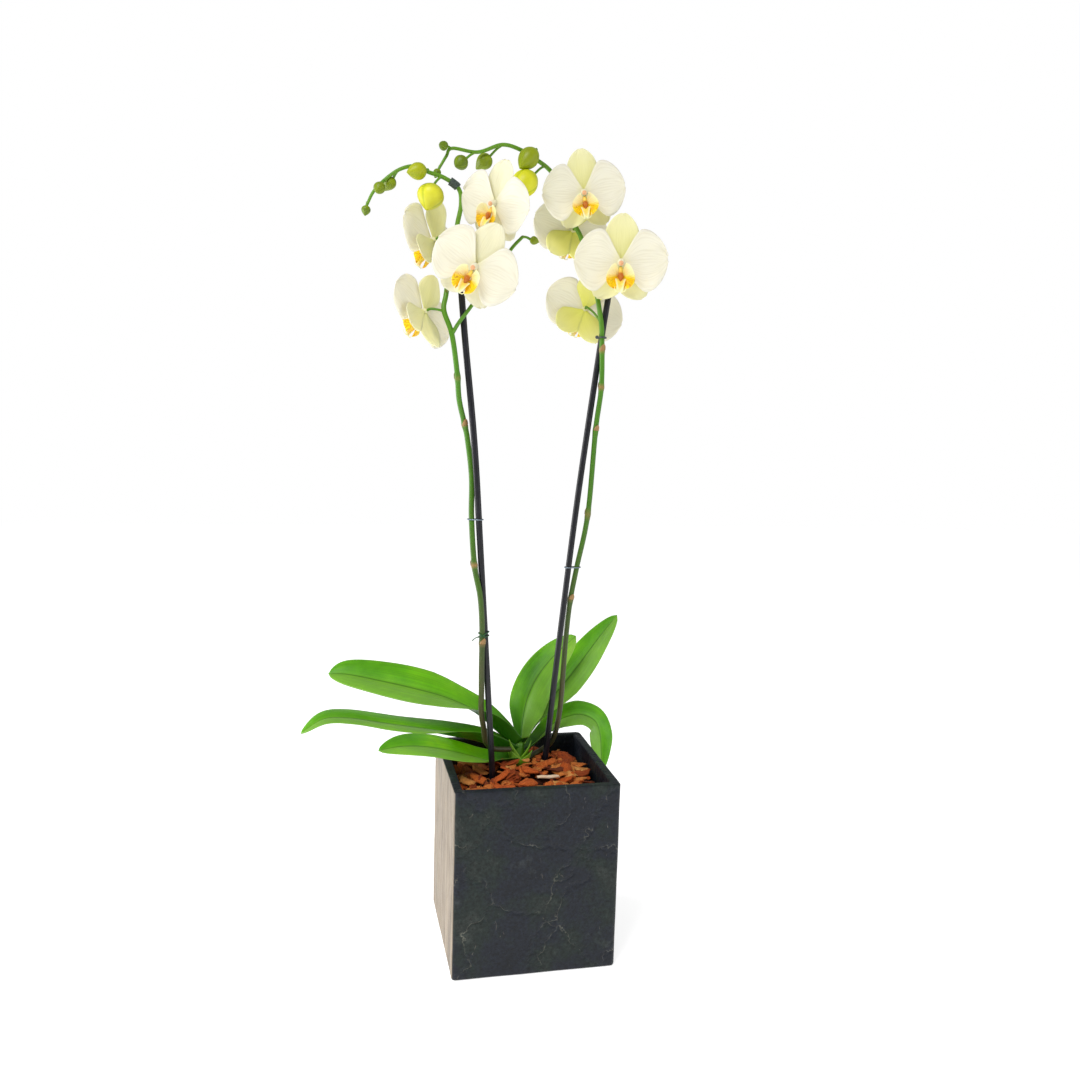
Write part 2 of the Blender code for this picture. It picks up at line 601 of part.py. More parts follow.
def rounded_square(half, radius, z, steps=4):
    points = []
    for corner in range(4):
        start = math.pi / 2 * corner
        reach = half - radius
        centre = Vector(((1, -1, -1, 1)[corner] * reach, (1, 1, -1, -1)[corner] * reach, z))
        for k in range(steps + 1):
            a = start + math.pi / 2 * k / steps
            points.append(centre + Vector((radius * math.cos(a), radius * math.sin(a), 0)))
    return points


def build_planter(material):
    half, inner = PLANTER_SIDE / 2, PLANTER_SIDE / 2 - PLANTER_WALL
    top, edge = PLANTER_HEIGHT, PLANTER_CHAMFER
    rings = [
        rounded_square(half - edge, PLANTER_CORNER, 0.0),
        rounded_square(half, PLANTER_CORNER, edge),
        rounded_square(half, PLANTER_CORNER, top - edge),
        rounded_square(half - edge, PLANTER_CORNER, top),
        rounded_square(inner + edge, PLANTER_CORNER * 0.7, top),
        rounded_square(inner, PLANTER_CORNER * 0.7, top - edge),
        rounded_square(inner, PLANTER_CORNER * 0.7, PLANTER_FLOOR),
    ]
    return add_object("planter", *loft(rings), material, smooth=False)


def point_at_height(points, z):
    """Where a route first passes a height, and its direction there."""
    route = smooth_route(points, 12)
    for a, b in zip(route, route[1:]):
        if a.z <= z <= b.z:
            share = (z - a.z) / (b.z - a.z)
            return a.lerp(b, share), (b - a).normalized()
    return route[-1], (route[-1] - route[-2]).normalized()


def build_tie(name, side, height, wire, material):
    """A loop of wire round one stake and one spike."""
    stake, spike = (STAKE_LEFT, SPIKE_LEFT) if side == "left" else (STAKE_RIGHT, SPIKE_RIGHT)
    nodes = SPIKE_LEFT_NODES if side == "left" else SPIKE_RIGHT_NODES
    rod, _ = point_at_height(stake, height)
    stem, _ = point_at_height(spike, height)
    swell = spike_radius(0.2, height, nodes)
    path = []
    for k in range(16):
        a = 2 * math.pi * k / 16
        way = Vector((math.cos(a), math.sin(a), 0))
        reach = [(way.dot(rod) + STAKE_RADIUS, rod, STAKE_RADIUS), (way.dot(stem) + swell, stem, swell)]
        _, centre, radius = max(reach, key=lambda option: option[0])
        path.append(centre + way * (radius + wire + 0.0005))
    return add_object(name, *closed_wire(path, wire), material)


def build_collar(material):
    """A soft sleeve round the left spike where it starts to arch."""
    route = smooth_route(SPIKE_LEFT, 8)[8 * COLLAR_FROM:8 * (COLLAR_FROM + 3)]
    route = [p for p in route if COLLAR_SPAN[0] < p.z < COLLAR_SPAN[1]]
    frames = frames_along(route)
    outer = [ring(p, f[1], f[2], COLLAR_OUTER, 10) for p, f in zip(route, frames)]
    inner = [ring(p, f[1], f[2], COLLAR_INNER, 10) for p, f in zip(route, frames)]
    points, faces = loft(outer + inner[::-1], close_ends=False)
    last = (len(outer) + len(inner) - 1) * 10
    for k in range(10):
        faces.append((last + k, last + (k + 1) % 10, (k + 1) % 10, k))
    return add_object("stem_collar", points, faces, material)


clear_scene()

slate = finish("slate_fibre_clay", (0.045, 0.048, 0.048), 0.55)
bark = finish("pine_bark", (0.42, 0.15, 0.06), 0.85)
pale_wood = finish("split_wood", (0.72, 0.52, 0.34), 0.75)
coated_rod = finish("coated_rod", (0.012, 0.012, 0.020), 0.40)
leaf_green = finish("leaf", (0.06, 0.25, 0.02), 0.30)
stem_green = finish("stem", (0.11, 0.22, 0.03), 0.45)
petal_white = finish("petal", (0.86, 0.83, 0.68), 0.50)
lip_yellow = finish("lip", (0.90, 0.62, 0.05), 0.45)
bud_green = finish("bud", (0.42, 0.50, 0.03), 0.45)
sleeve_grey = finish("foam_sleeve", (0.06, 0.08, 0.07), 0.85)
tie_finishes = {
    "tie_wire": finish("tie_wire", (0.16, 0.20, 0.24), 0.40, 0.8),
    "twist_tie": finish("twist_tie", (0.03, 0.18, 0.07), 0.45),
    "clip_plastic": finish("clip_plastic", (0.05, 0.06, 0.06), 0.35),
}

build_planter(slate)

for name, points in (("stake_left", STAKE_LEFT), ("stake_right", STAKE_RIGHT)):
    route = smooth_route(points, 2)
    add_object(name, *tube(route, [STAKE_RADIUS] * len(route), 10), coated_rod)

leaf_shapes = {name: leaf_rows(*spec) for name, spec in LEAVES.items()}
build_crown([rows[:SHEATH_ROWS + 1] for rows in leaf_shapes.values()], leaf_green)

cutters = []
for points in (STAKE_LEFT, STAKE_RIGHT):
    route = smooth_route(points[:3], 2)
    route[0] = route[0] - (route[1] - route[0]).normalized() * GAP
    cutters.append(add_object("bore", *tube(route, [STAKE_RADIUS + GAP] * len(route), 10)))
crown_route = [Vector(p) for p in CROWN_AXIS]
socket = [crown_route[0] - Vector((0, 0, GAP)), crown_route[1], crown_route[2]]
cutters.append(add_object("socket", *tube(socket, [r + 2 * GAP for r in CROWN_RADII], 10)))
build_bark(bark, cutters)
for number, spec in enumerate(CHIPS, 1):
    chip_solid(f"bark_chip_{number}", spec, bark)
chip_solid("wood_stick", WOOD_STICK, pale_wood, jagged=False)

left = [n for n in FLOWERS if "_left_" in n]
right = [n for n in FLOWERS if "_right_" in n]
build_spike("spike_left", SPIKE_LEFT, SPIKE_LEFT_NODES, SPIKE_LEFT_BRANCH, left,
            [n for n in BUDS if "_left_" in n], stem_green)
build_spike("spike_right", SPIKE_RIGHT, SPIKE_RIGHT_NODES, None, right,
            [n for n in BUDS if "_right_" in n], stem_green)

for name, rows in leaf_shapes.items():
    build_leaf(name, rows[SHEATH_ROWS:], leaf_green)

place_flowers(petal_white, lip_yellow)

for name, (_, _, _, width) in BUDS.items():
    start, tip = bud_ends(name)
    add_object(name, *bud_shape(start, tip, width), bud_green)

for name, (side, height, wire, finish_name) in TIES.items():
    build_tie(name, side, height, wire, tie_finishes[finish_name])
build_collar(sleeve_grey)
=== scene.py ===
# %% [markdown]
# # A moth orchid in a square slate-look planter
#
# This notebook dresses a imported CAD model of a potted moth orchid. The CAD holds every piece at its
# right place and size, with few faces. Here each piece gets the shape and the finish that the eye
# expects of the living plant, its bark, its stakes and its pot.
#
# Lengths are in metres, +Z is up, the origin is at the centre of the planter's base, and the
# planter's front wall faces -Y.

# %% Load the CAD frame
import math
import random

import bmesh
import bpy
import numpy as np
from mathutils import Matrix, Vector, noise


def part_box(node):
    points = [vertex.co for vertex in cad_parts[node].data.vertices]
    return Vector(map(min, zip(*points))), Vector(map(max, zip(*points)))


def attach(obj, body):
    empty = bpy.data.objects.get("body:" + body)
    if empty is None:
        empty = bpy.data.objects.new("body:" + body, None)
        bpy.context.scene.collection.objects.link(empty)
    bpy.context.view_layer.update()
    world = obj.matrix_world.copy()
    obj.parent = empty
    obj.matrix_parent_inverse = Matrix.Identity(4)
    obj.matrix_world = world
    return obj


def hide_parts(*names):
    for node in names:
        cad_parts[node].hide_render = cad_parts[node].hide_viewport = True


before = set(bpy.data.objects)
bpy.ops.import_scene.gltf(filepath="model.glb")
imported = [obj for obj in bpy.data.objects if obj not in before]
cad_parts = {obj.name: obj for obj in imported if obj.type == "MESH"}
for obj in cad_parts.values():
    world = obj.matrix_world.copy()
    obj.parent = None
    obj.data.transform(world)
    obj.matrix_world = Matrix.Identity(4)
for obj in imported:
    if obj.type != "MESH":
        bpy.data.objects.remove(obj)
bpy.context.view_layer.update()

# %% [markdown]
# ## Camera
# A product picture of a tall plant is taken from about a metre away, with a short lens. The camera
# here stands a little lower than the flowers and to the left of the plant, and looks down slightly. Its
# turn, dip and tilt are given as angles, because they are easier to reason about than a matrix.

# %% Camera
STANDS_AT = Vector((-0.21105, -0.99782, 0.56165))
TURN, DIP, TILT = math.radians(-12.596), math.radians(7.0766), math.radians(1.6385)
LENS_MM = 32.667

ahead = Vector((-math.sin(TURN) * math.cos(DIP), math.cos(TURN) * math.cos(DIP), -math.sin(DIP)))
level = Vector((math.cos(TURN), math.sin(TURN), 0))
upright = level.cross(ahead)
right = level * math.cos(TILT) + upright * math.sin(TILT)
top = upright * math.cos(TILT) - level * math.sin(TILT)
lens = bpy.data.cameras.new("camera")
lens.lens, lens.sensor_width, lens.clip_start = LENS_MM, 36.0, 0.02
camera = bpy.data.objects.new("camera", lens)
camera.matrix_world = Matrix.Translation(STANDS_AT) @ Matrix((right, top, -ahead)).transposed().to_4x4()
bpy.context.scene.collection.objects.link(camera)
bpy.context.scene.camera = camera
print("camera looks along", tuple(round(v, 3) for v in ahead))

# %% [markdown]
# ## Building meshes by hand
# Petals, leaves, stems and pots are all skins: a grid of points that is bent into shape. A stem's
# grid wraps round on itself, and a leaf's grid has a second one behind it for its thickness, with a
# rim that joins the two. A few helpers lay such grids, so that every piece can be written as a formula
# for its points. Each point also keeps a strip coordinate (across, along) and painted values, which
# the materials read.

# %% Shapes as grids of points
def new_shape():
    return {"points": [], "faces": [], "strips": [], "paint": []}


def lay_grid(shape, grid, wrap=False, ends=False, **paint):
    """Adds a grid as a skin. wrap joins the last column to the first, and ends closes the two ends."""
    grid = np.asarray(grid, float)
    rows, columns = grid.shape[:2]
    start = len(shape["points"])
    shape["points"].extend(map(tuple, grid.reshape(-1, 3)))
    across = np.arange(columns) / (columns if wrap else columns - 1)
    shape["strips"].extend((a, i / (rows - 1)) for i in range(rows) for a in across)
    spread = {k: np.broadcast_to(np.asarray(v, float), (rows, columns)).ravel() for k, v in paint.items()}
    shape["paint"].extend({k: float(v[n]) for k, v in spread.items()} for n in range(rows * columns))
    for i in range(rows - 1):
        for j in range(columns if wrap else columns - 1):
            a, b = start + i * columns + j, start + i * columns + (j + 1) % columns
            shape["faces"].append((a, b, b + columns, a + columns))
    if ends:
        shape["faces"].append(tuple(start + k for k in reversed(range(columns))))
        shape["faces"].append(tuple(start + (rows - 1) * columns + k for k in range(columns)))
    return start


def close_rim(shape, a, b, rows, columns):
    """Joins the borders of two grids of the same size, whose points start at a and b."""
    border = [(0, j) for j in range(columns)] + [(i, columns - 1) for i in range(1, rows)]
    border += [(rows - 1, j) for j in range(columns - 2, -1, -1)] + [(i, 0) for i in range(rows - 2, 0, -1)]
    loop = [i * columns + j for i, j in border]
    for p, q in zip(loop, loop[1:] + loop[:1]):
        shape["faces"].append((a + p, a + q, b + q, b + p))


def lay_sheet(shape, front, thick, faces_way, **paint):
    """Adds a thin closed sheet: the face that looks faces_way, one behind it, and the rim between them."""
    front = np.asarray(front, float)
    normal = np.cross(np.gradient(front, axis=1), np.gradient(front, axis=0))
    normal /= np.linalg.norm(normal, axis=2, keepdims=True) + 1e-12
    if (normal * np.asarray(faces_way)).sum() < 0:
        normal = -normal
    rows, columns = front.shape[:2]
    rim = np.abs(np.linspace(-1, 1, columns)) ** 8
    depth = np.broadcast_to(thick * (1 - 0.65 * rim), (rows, columns))
    a = lay_grid(shape, front, upper=1.0, **paint)
    b = lay_grid(shape, front - normal * depth[..., None], upper=0.0, **paint)
    close_rim(shape, a, b, rows, columns)


def build(name, shape, finish, slot, *stands_for):
    """Makes the shape an object that rides on the plant and stands for the CAD nodes named."""
    mesh = bpy.data.meshes.new(name)
    mesh.from_pydata(shape["points"], [], shape["faces"])
    work = bmesh.new()
    work.from_mesh(mesh)
    bmesh.ops.recalc_face_normals(work, faces=work.faces)
    work.to_mesh(mesh)
    work.free()
    corners = np.empty(len(mesh.loops), np.int32)
    mesh.loops.foreach_get("vertex_index", corners)
    strip = mesh.uv_layers.new(name="strip")
    strip.data.foreach_set("uv", np.array(shape["strips"], np.float32)[corners].ravel())
    for key in sorted({k for values in shape["paint"] for k in values}):
        painted = mesh.attributes.new(key, "FLOAT", "POINT")
        painted.data.foreach_set("value", [values.get(key, 0.0) for values in shape["paint"]])
    mesh.shade_smooth()
    mesh.materials.append(finish)
    made = bpy.data.objects.new(name, mesh)
    bpy.context.scene.collection.objects.link(made)
    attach(made, "root")
    if stands_for:
        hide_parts(*stands_for)
    return made


print("grids ready")

# %% [markdown]
# ## Curves
# Stems, stakes and leaf midribs are smooth lines through a few known points. A Catmull-Rom spline
# passes through every one of them, so the visible piece stays where the CAD put it. A tube is then
# a ring of points carried along the line without twisting.

# %% Curves and tubes
def smooth_route(points, steps):
    given = [Vector(p) for p in points]
    ends = [given[0] * 2 - given[1]] + given + [given[-1] * 2 - given[-2]]
    route = []
    for i in range(1, len(ends) - 2):
        a, b, c, d = ends[i - 1:i + 3]
        for k in range(steps):
            t = k / steps
            route.append(0.5 * (2 * b + (c - a) * t + (2 * a - 5 * b + 4 * c - d) * t * t
                                + (3 * b - a - 3 * c + d) * t ** 3))
    route.append(given[-1])
    return route


def frames_along(route):
    """The way ahead and two sideways directions at each point, turning as little as possible."""
    frames, side = [], None
    for i in range(len(route)):
        ahead = (route[min(i + 1, len(route) - 1)] - route[max(i - 1, 0)]).normalized()
        side = side or ahead.orthogonal()
        side = (side - ahead * side.dot(ahead)).normalized()
        frames.append((ahead, side, ahead.cross(side)))
    return frames


def tube_grid(route, radii, sides):
    rows = []
    for point, (_, side, up), radius in zip(route, frames_along(route), radii):
        turns = [2 * math.pi * k / sides for k in range(sides)]
        rows.append([point + (side * math.cos(a) + up * math.sin(a)) * radius for a in turns])
    return rows


def lay_tube(shape, route, radii, sides=12, **paint):
    """A tube with rounded ends."""
    heads = frames_along(route)
    start, end = route[0] - heads[0][0] * radii[0] * 0.35, route[-1] + heads[-1][0] * radii[-1] * 0.35
    paint = {k: np.concatenate([v[:1], v, v[-1:]]) if np.ndim(v) else v for k, v in paint.items()}
    lay_grid(shape, tube_grid([start, *route, end], [radii[0] * 0.6, *radii, radii[-1] * 0.6], sides),
             wrap=True, ends=True, **paint)


print("curves ready")

# %% [markdown]
# ## Materials: two helpers
# Colours are picked as sRGB hex values, as in any paint program, but Blender mixes light in linear
# values, so one function turns them over. Another adds a node with its settings and links, and the
# short ones after it are for the kinds that come back often: a range turned into another, a mix of
# two colours, a sum, a noise. Every finish below starts from a Principled shader with typical values
# for the real material.

# %% Material helpers
def linear(hex_colour):
    parts = [int(hex_colour[i:i + 2], 16) / 255 for i in (1, 3, 5)]
    return (*[c / 12.92 if c <= 0.04045 else ((c + 0.055) / 1.055) ** 2.4 for c in parts], 1.0)


def add(tree, kind, inputs=None, **settings):
    """Adds a node. Each input takes a value, a hex colour, a socket or a node, for its first output."""
    node = tree.nodes.new("ShaderNode" + kind)
    for key, value in settings.items():
        setattr(node, key, value)
    for key, value in (inputs or {}).items():
        if isinstance(value, bpy.types.Node):
            value = next(socket for socket in value.outputs if socket.enabled)
        if isinstance(value, bpy.types.NodeSocket):
            tree.links.new(value, node.inputs[key])
        else:
            node.inputs[key].default_value = linear(value) if isinstance(value, str) else value
    return node


def remap(tree, value, low, high, to_low, to_high):
    """Turns the range low to high into the range to_low to to_high, and holds it there."""
    return add(tree, "MapRange", {0: value, 1: low, 2: high, 3: to_low, 4: to_high})


def blend(tree, share, under, over, kind="MIX"):
    return add(tree, "Mix", {0: share, 6: under, 7: over}, data_type="RGBA", blend_type=kind)


def calc(tree, operation, *values):
    return add(tree, "Math", dict(enumerate(values)), operation=operation)


def cloudy(tree, where, scale, detail, **more):
    return add(tree, "TexNoise", {"Vector": where, "Scale": scale, "Detail": detail, **more})


def in_object(tree):
    """Where a point lies on the plant, in metres."""
    return add(tree, "TexCoord").outputs["Object"]


def across_along(tree):
    """The two strip coordinates of a point, each from 0 to 1."""
    strip = add(tree, "SeparateXYZ", {0: add(tree, "UVMap", uv_map="strip")})
    return strip.outputs[0], strip.outputs[1]


def painted(tree, name):
    """The value that the mesh carries under this name."""
    return add(tree, "Attribute", attribute_name=name).outputs["Fac"]


def ramp(tree, value, first, *rest):
    """A row of colours. Each stop is a place from 0 to 1 and a hex colour."""
    node = add(tree, "ValToRGB", {0: value})
    colours = node.color_ramp.elements
    for stop, (place, colour) in zip(colours, (first, rest[-1])):
        stop.position, stop.color = place, linear(colour)
    for place, colour in rest[:-1]:
        colours.new(place).color = linear(colour)
    return node


def feed(tree, node, shader, socket):
    tree.links.new(next(out for out in node.outputs if out.enabled), shader.inputs[socket])


def emboss(tree, shader, height, strength, distance):
    """Raises the skin where height is large, by up to the distance."""
    bump = add(tree, "Bump", {"Strength": strength, "Distance": distance, "Height": height})
    feed(tree, bump, shader, "Normal")


def surface(name, **values):
    """A new material, its node tree and its shader. Spaces in a socket's name are written as _."""
    made = bpy.data.materials.new(name)
    made.use_nodes = True
    shader = made.node_tree.nodes["Principled BSDF"]
    for key, value in values.items():
        shader.inputs[key.replace("_", " ")].default_value = value
    return made, made.node_tree, shader


print("white in linear values:", linear("#ffffff"))

# %% [markdown]
# ## Planter: cast fibre-clay with a slate-look coat
# The pot is cast from clay, resin and glass fibre, then coated charcoal. Up close such a coat is a
# little blotchy, with blue and green tints, pale scratches and tan flecks where it has rubbed. The
# wall on the left is painted pale with streaks: painted light, standing in for a lamp that grazes that
# side. All of this sits in noise textures: broad ones for tints, a stretched one for streaks, a fine
# one for pits.

# %% Slate-look coat
slate, tree, shader = surface("slate_coated_fibre_clay", IOR=1.45, Specular_IOR_Level=0.35)
where = in_object(tree)
blotch = cloudy(tree, where, 22.0, 6.0, Roughness=0.65)
tint = ramp(tree, blotch, (0.3, "#0b1017"), (0.45, "#131822"), (0.58, "#17211e"), (0.74, "#2c302d"))
drag = add(tree, "Mapping", {"Vector": where, "Scale": (130.0, 130.0, 75.0), "Rotation": (0.5, 0.4, 0.7)})
rubs = cloudy(tree, drag, 1.0, 4.0, Distortion=1.2)
worn = remap(tree, rubs, 0.68, 0.8, 0.0, 0.42)
flecked = blend(tree, worn, tint, "#8b8478")
bent = cloudy(tree, where, 14.0, 5.0, Roughness=0.6)
pushed = add(tree, "VectorMath", {0: bent.outputs["Color"], 1: (0.11, 0.11, 0.11)}, operation="MULTIPLY")
moved = add(tree, "VectorMath", {0: where, 1: pushed}, operation="ADD")
cleft = add(tree, "TexVoronoi", {"Vector": moved, "Scale": 13.0}, feature="DISTANCE_TO_EDGE")
crack = remap(tree, cleft, 0.0, 0.013, 1.0, 0.0)
patch = cloudy(tree, where, 17.0, 4.0, Roughness=0.7)
patch_on = remap(tree, patch, 0.5, 0.66, 0.0, 0.62)
crack_on = calc(tree, "MULTIPLY", crack, patch_on)
rubbed = remap(tree, patch, 0.6, 0.8, 0.0, 0.35)
hazy = blend(tree, rubbed, flecked, "#5d645e")
scratched = blend(tree, crack_on, hazy, "#77766a")
sand = cloudy(tree, where, 260.0, 6.0, Roughness=0.75)
grain = remap(tree, sand, 0.3, 0.72, 0.22, 2.0)
veined = blend(tree, 1.0, scratched, grain, "MULTIPLY")
run = add(tree, "Mapping", {"Vector": where, "Scale": (170.0, 170.0, 14.0)})
streaks = cloudy(tree, run, 1.0, 7.0, Roughness=0.72, Distortion=0.5)
# Painted light: on the outside of the left wall the colour turns to this pale, streaked ramp, which stands in
# for a grazing light on that side.
bloom = ramp(tree, streaks, (0.3, "#50463a"), (0.42, "#7f7264"), (0.54, "#9f907d"), (0.7, "#bdab95"))
outward = add(tree, "SeparateXYZ", {0: add(tree, "NewGeometry").outputs["Normal"]})
left_wall = remap(tree, outward.outputs[0], -0.75, -0.95, 0.0, 0.92)
outer = add(tree, "SeparateXYZ", {0: where})
outside = calc(tree, "LESS_THAN", outer.outputs[0], -0.083)
painted_side_light = calc(tree, "MULTIPLY", left_wall, outside)
coat = blend(tree, painted_side_light, veined, bloom)
feed(tree, coat, shader, "Base Color")
dull = remap(tree, blotch, 0.2, 0.8, 0.42, 0.62)
feed(tree, dull, shader, "Roughness")
pits = cloudy(tree, where, 420.0, 4.0, Roughness=0.7)
steps = remap(tree, cleft, 0.0, 0.06, 0.0, 1.6)
broad = calc(tree, "MULTIPLY_ADD", blotch, 3.0, steps)
fine = calc(tree, "ADD", pits, rubs)
relief = calc(tree, "ADD", fine, broad)
emboss(tree, shader, relief, 0.55, 0.0009)
print("slate coat has", len(tree.nodes), "nodes")

# %% [markdown]
# ## Planter: the shell
# A cast pot has walls that are never quite flat and edges that are rounded by the mould. A plain
# box with a bevel would look too exact. So the shell is a stack of rounded squares, close together
# where the rim turns over, and each point of the outer wall is moved by a slow noise of a third of
# a millimetre.

# %% Planter shell
POT_HALF, POT_TOP, POT_WALL, POT_FLOOR = 0.085, 0.196, 0.009, 0.012
CORNER_STEPS, SIDE_STEPS = 6, 14


def rounded_square(half, radius, z):
    points = []
    for corner in range(4):
        turn = math.pi / 2 * corner
        cx, cy = (1, -1, -1, 1)[corner] * (half - radius), (1, 1, -1, -1)[corner] * (half - radius)
        for k in range(CORNER_STEPS + 1):
            a = turn + math.pi / 2 * k / CORNER_STEPS
            points.append(Vector((cx + radius * math.cos(a), cy + radius * math.sin(a), z)))
        ax, ay = (-1, -1, 1, 1)[corner] * (half - radius), (1, -1, -1, 1)[corner] * (half - radius)
        a = turn + math.pi / 2
        wall_end = Vector((ax + radius * math.cos(a), ay + radius * math.sin(a), z))
        last = points[-1]
        points += [last.lerp(wall_end, k / SIDE_STEPS) for k in range(1, SIDE_STEPS)]
    return points


def uneven(point):
    wobble = noise.noise(Vector(point) * 28) * 0.00035 + noise.noise(Vector(point) * 90) * 0.00012
    return point + Vector((point.x, point.y, 0)).normalized() * wobble


ROUNDING, OUTER_CORNER, INNER_CORNER = 0.0016, 0.0045, 0.003
turned_rim = [(math.sin(a), math.cos(a)) for a in np.linspace(math.pi / 2, 0, 5)]
rings = [rounded_square(POT_HALF - 0.0016, 0.004, 0.0), rounded_square(POT_HALF - 0.0005, 0.0042, 0.0006),
         rounded_square(POT_HALF, OUTER_CORNER, 0.0022)]
rings += [rounded_square(POT_HALF, OUTER_CORNER, z) for z in np.linspace(0.008, POT_TOP - 0.004, 20)]
rings += [rounded_square(POT_HALF - ROUNDING * (1 - x), OUTER_CORNER, POT_TOP - ROUNDING * (1 - y))
          for x, y in turned_rim]
inner = POT_HALF - POT_WALL
rings += [rounded_square(inner + ROUNDING * (1 - x), INNER_CORNER, POT_TOP - ROUNDING * (1 - y))
          for x, y in turned_rim[::-1]]
rings += [rounded_square(inner, INNER_CORNER, z) for z in np.linspace(POT_TOP - 0.006, POT_FLOOR, 8)]
shell = new_shape()
lay_grid(shell, [[uneven(p) for p in ring] for ring in rings], wrap=True, ends=True)
planter = build("planter_shell", shell, slate, "slate_fibre_clay", "planter")
print("planter shell:", len(planter.data.polygons), "faces")

# %% [markdown]
# ## Bark: the finish
# Orchid compost is pine bark, split into chips. Each chip has its own tone, from dark red-brown to
# pale tan, and layers that run along it like the pages of a book. The chip's own strip coordinate
# is stretched along its length for those layers, and a painted tone picks its colour.

# %% Pine bark
bark, tree, shader = surface("split_pine_bark", Roughness=0.86, IOR=1.4)
tone = painted(tree, "tone")
where = in_object(tree)
strip = add(tree, "UVMap", uv_map="strip")
layered = add(tree, "Mapping", {"Vector": strip, "Scale": (3.0, 16.0, 1.0)})
own = calc(tree, "MULTIPLY", tone, 57.0)
layers = add(tree, "TexNoise", {"Vector": layered, "W": own, "Scale": 1.0, "Detail": 5.0,
             "Distortion": 0.6}, noise_dimensions="4D")
grit = cloudy(tree, where, 700.0, 4.0, Roughness=0.7)
shade = ramp(tree, tone, (0.0, "#3f1c0b"), (0.22, "#964418"), (0.55, "#ce6420"), (0.8, "#d8843c"),
             (1.0, "#e6ac62"))
strata = ramp(tree, layers, (0.3, "#7a5236"), (0.48, "#e8cbb2"), (0.66, "#ffffff"))
body_colour = blend(tree, 0.75, shade, strata, "MULTIPLY")
speck = remap(tree, grit, 0.35, 0.65, 0.72, 1.15)
bark_colour = blend(tree, 1.0, body_colour, speck, "MULTIPLY")
feed(tree, bark_colour, shader, "Base Color")
rough = calc(tree, "ADD", layers, grit)
emboss(tree, shader, rough, 0.7, 0.0011)
print("bark has", len(tree.nodes), "nodes")

# %% [markdown]
# ## Bark: the chips
# A chip is a flat flake with a broken outline, curled a little across its width. It could be cut
# from a block with a fracture add-on, but a formula gives control of every size: a ragged outline,
# drawn again smaller towards the middle for the top and the underside. The large chips lie where
# the CAD has them. Some three hundred more fill the bed between them, on the same mound.

# %% Bark chips
BED_HALF, BED_EDGE = 0.0747, 0.1755
MOUND, MOUND_AT, MOUND_SPREAD, LUMP = 0.0115, (-0.006, 0.006), 0.052, 0.0016
CORNERS, OUTLINE_POINTS = 7, 28
# From the middle of the top over the edge to the middle of the underside: share of the outline, and
# share of half the thickness.
BANDS = ((0.02, 1), (0.55, 1), (0.88, 0.92), (1.0, 0.45), (1.0, -0.45), (0.88, -0.92), (0.5, -1), (0.02, -1))


def bark_level(x, y):
    away = math.hypot(x - MOUND_AT[0], y - MOUND_AT[1])
    lumps = LUMP * noise.noise(Vector((x * 90, y * 90, 0.4)))
    return BED_EDGE + MOUND * math.exp(-(away / MOUND_SPREAD) ** 2) + lumps


def lay_chip(shape, centre, size, turn, tones, seed):
    """A flake of bark: size is (length, width, thickness), turn is (yaw, pitch, roll) in degrees."""
    rng = random.Random(seed)
    length, width, thick = size
    spin = (Matrix.Rotation(math.radians(turn[0]), 3, "Z") @ Matrix.Rotation(math.radians(turn[1]), 3, "Y")
            @ Matrix.Rotation(math.radians(turn[2]), 3, "X"))
    curl, twist, square = rng.uniform(0.05, 0.22), rng.uniform(-0.12, 0.12), rng.uniform(0.55, 0.85)
    outline, corners = [], []
    for k in range(CORNERS):
        a = 2 * math.pi * (k + rng.uniform(-0.32, 0.32)) / CORNERS
        c, s = math.cos(a), math.sin(a)
        reach = (abs(c) ** (2 / square) + abs(s) ** (2 / square)) ** (-square / 2) * rng.uniform(0.82, 1.06)
        corners.append((c * reach, s * reach))
    for k in range(OUTLINE_POINTS):
        part = k * CORNERS / OUTLINE_POINTS
        (ax, ay), (bx, by) = corners[int(part)], corners[(int(part) + 1) % CORNERS]
        share, nick = part % 1, 1 + rng.uniform(-0.045, 0.03)
        outline.append(((ax + (bx - ax) * share) * nick, (ay + (by - ay) * share) * nick))
    rows = []
    for share, face in BANDS:
        row = []
        for x, y in outline:
            px, py = x * share * length / 2, y * share * width / 2
            grain = noise.noise(Vector((px * 260 + seed, py * 700, face * 1.3)))
            layer = 0.28 * thick * math.copysign(1, math.sin(py / width * 14 + seed)) * (abs(face) > 0.9)
            bow = curl * width * (1 - (2 * py / width) ** 2) + twist * px * py / width * 4
            pz = bow + face * thick / 2 * (1 + 0.35 * grain) + layer * 0.5 * share
            row.append(Vector(centre) + spin @ Vector((px, py, pz)))
        rows.append(row)
    first = len(shape["points"])
    lay_grid(shape, rows, wrap=True, ends=True, tone=rng.uniform(*tones))
    for k in range(first, len(shape["points"])):
        local = spin.transposed() @ (Vector(shape["points"][k]) - Vector(centre))
        shape["strips"][k] = (local.x / length + 0.5, local.y / width + 0.5 + 0.3 * local.z / thick)


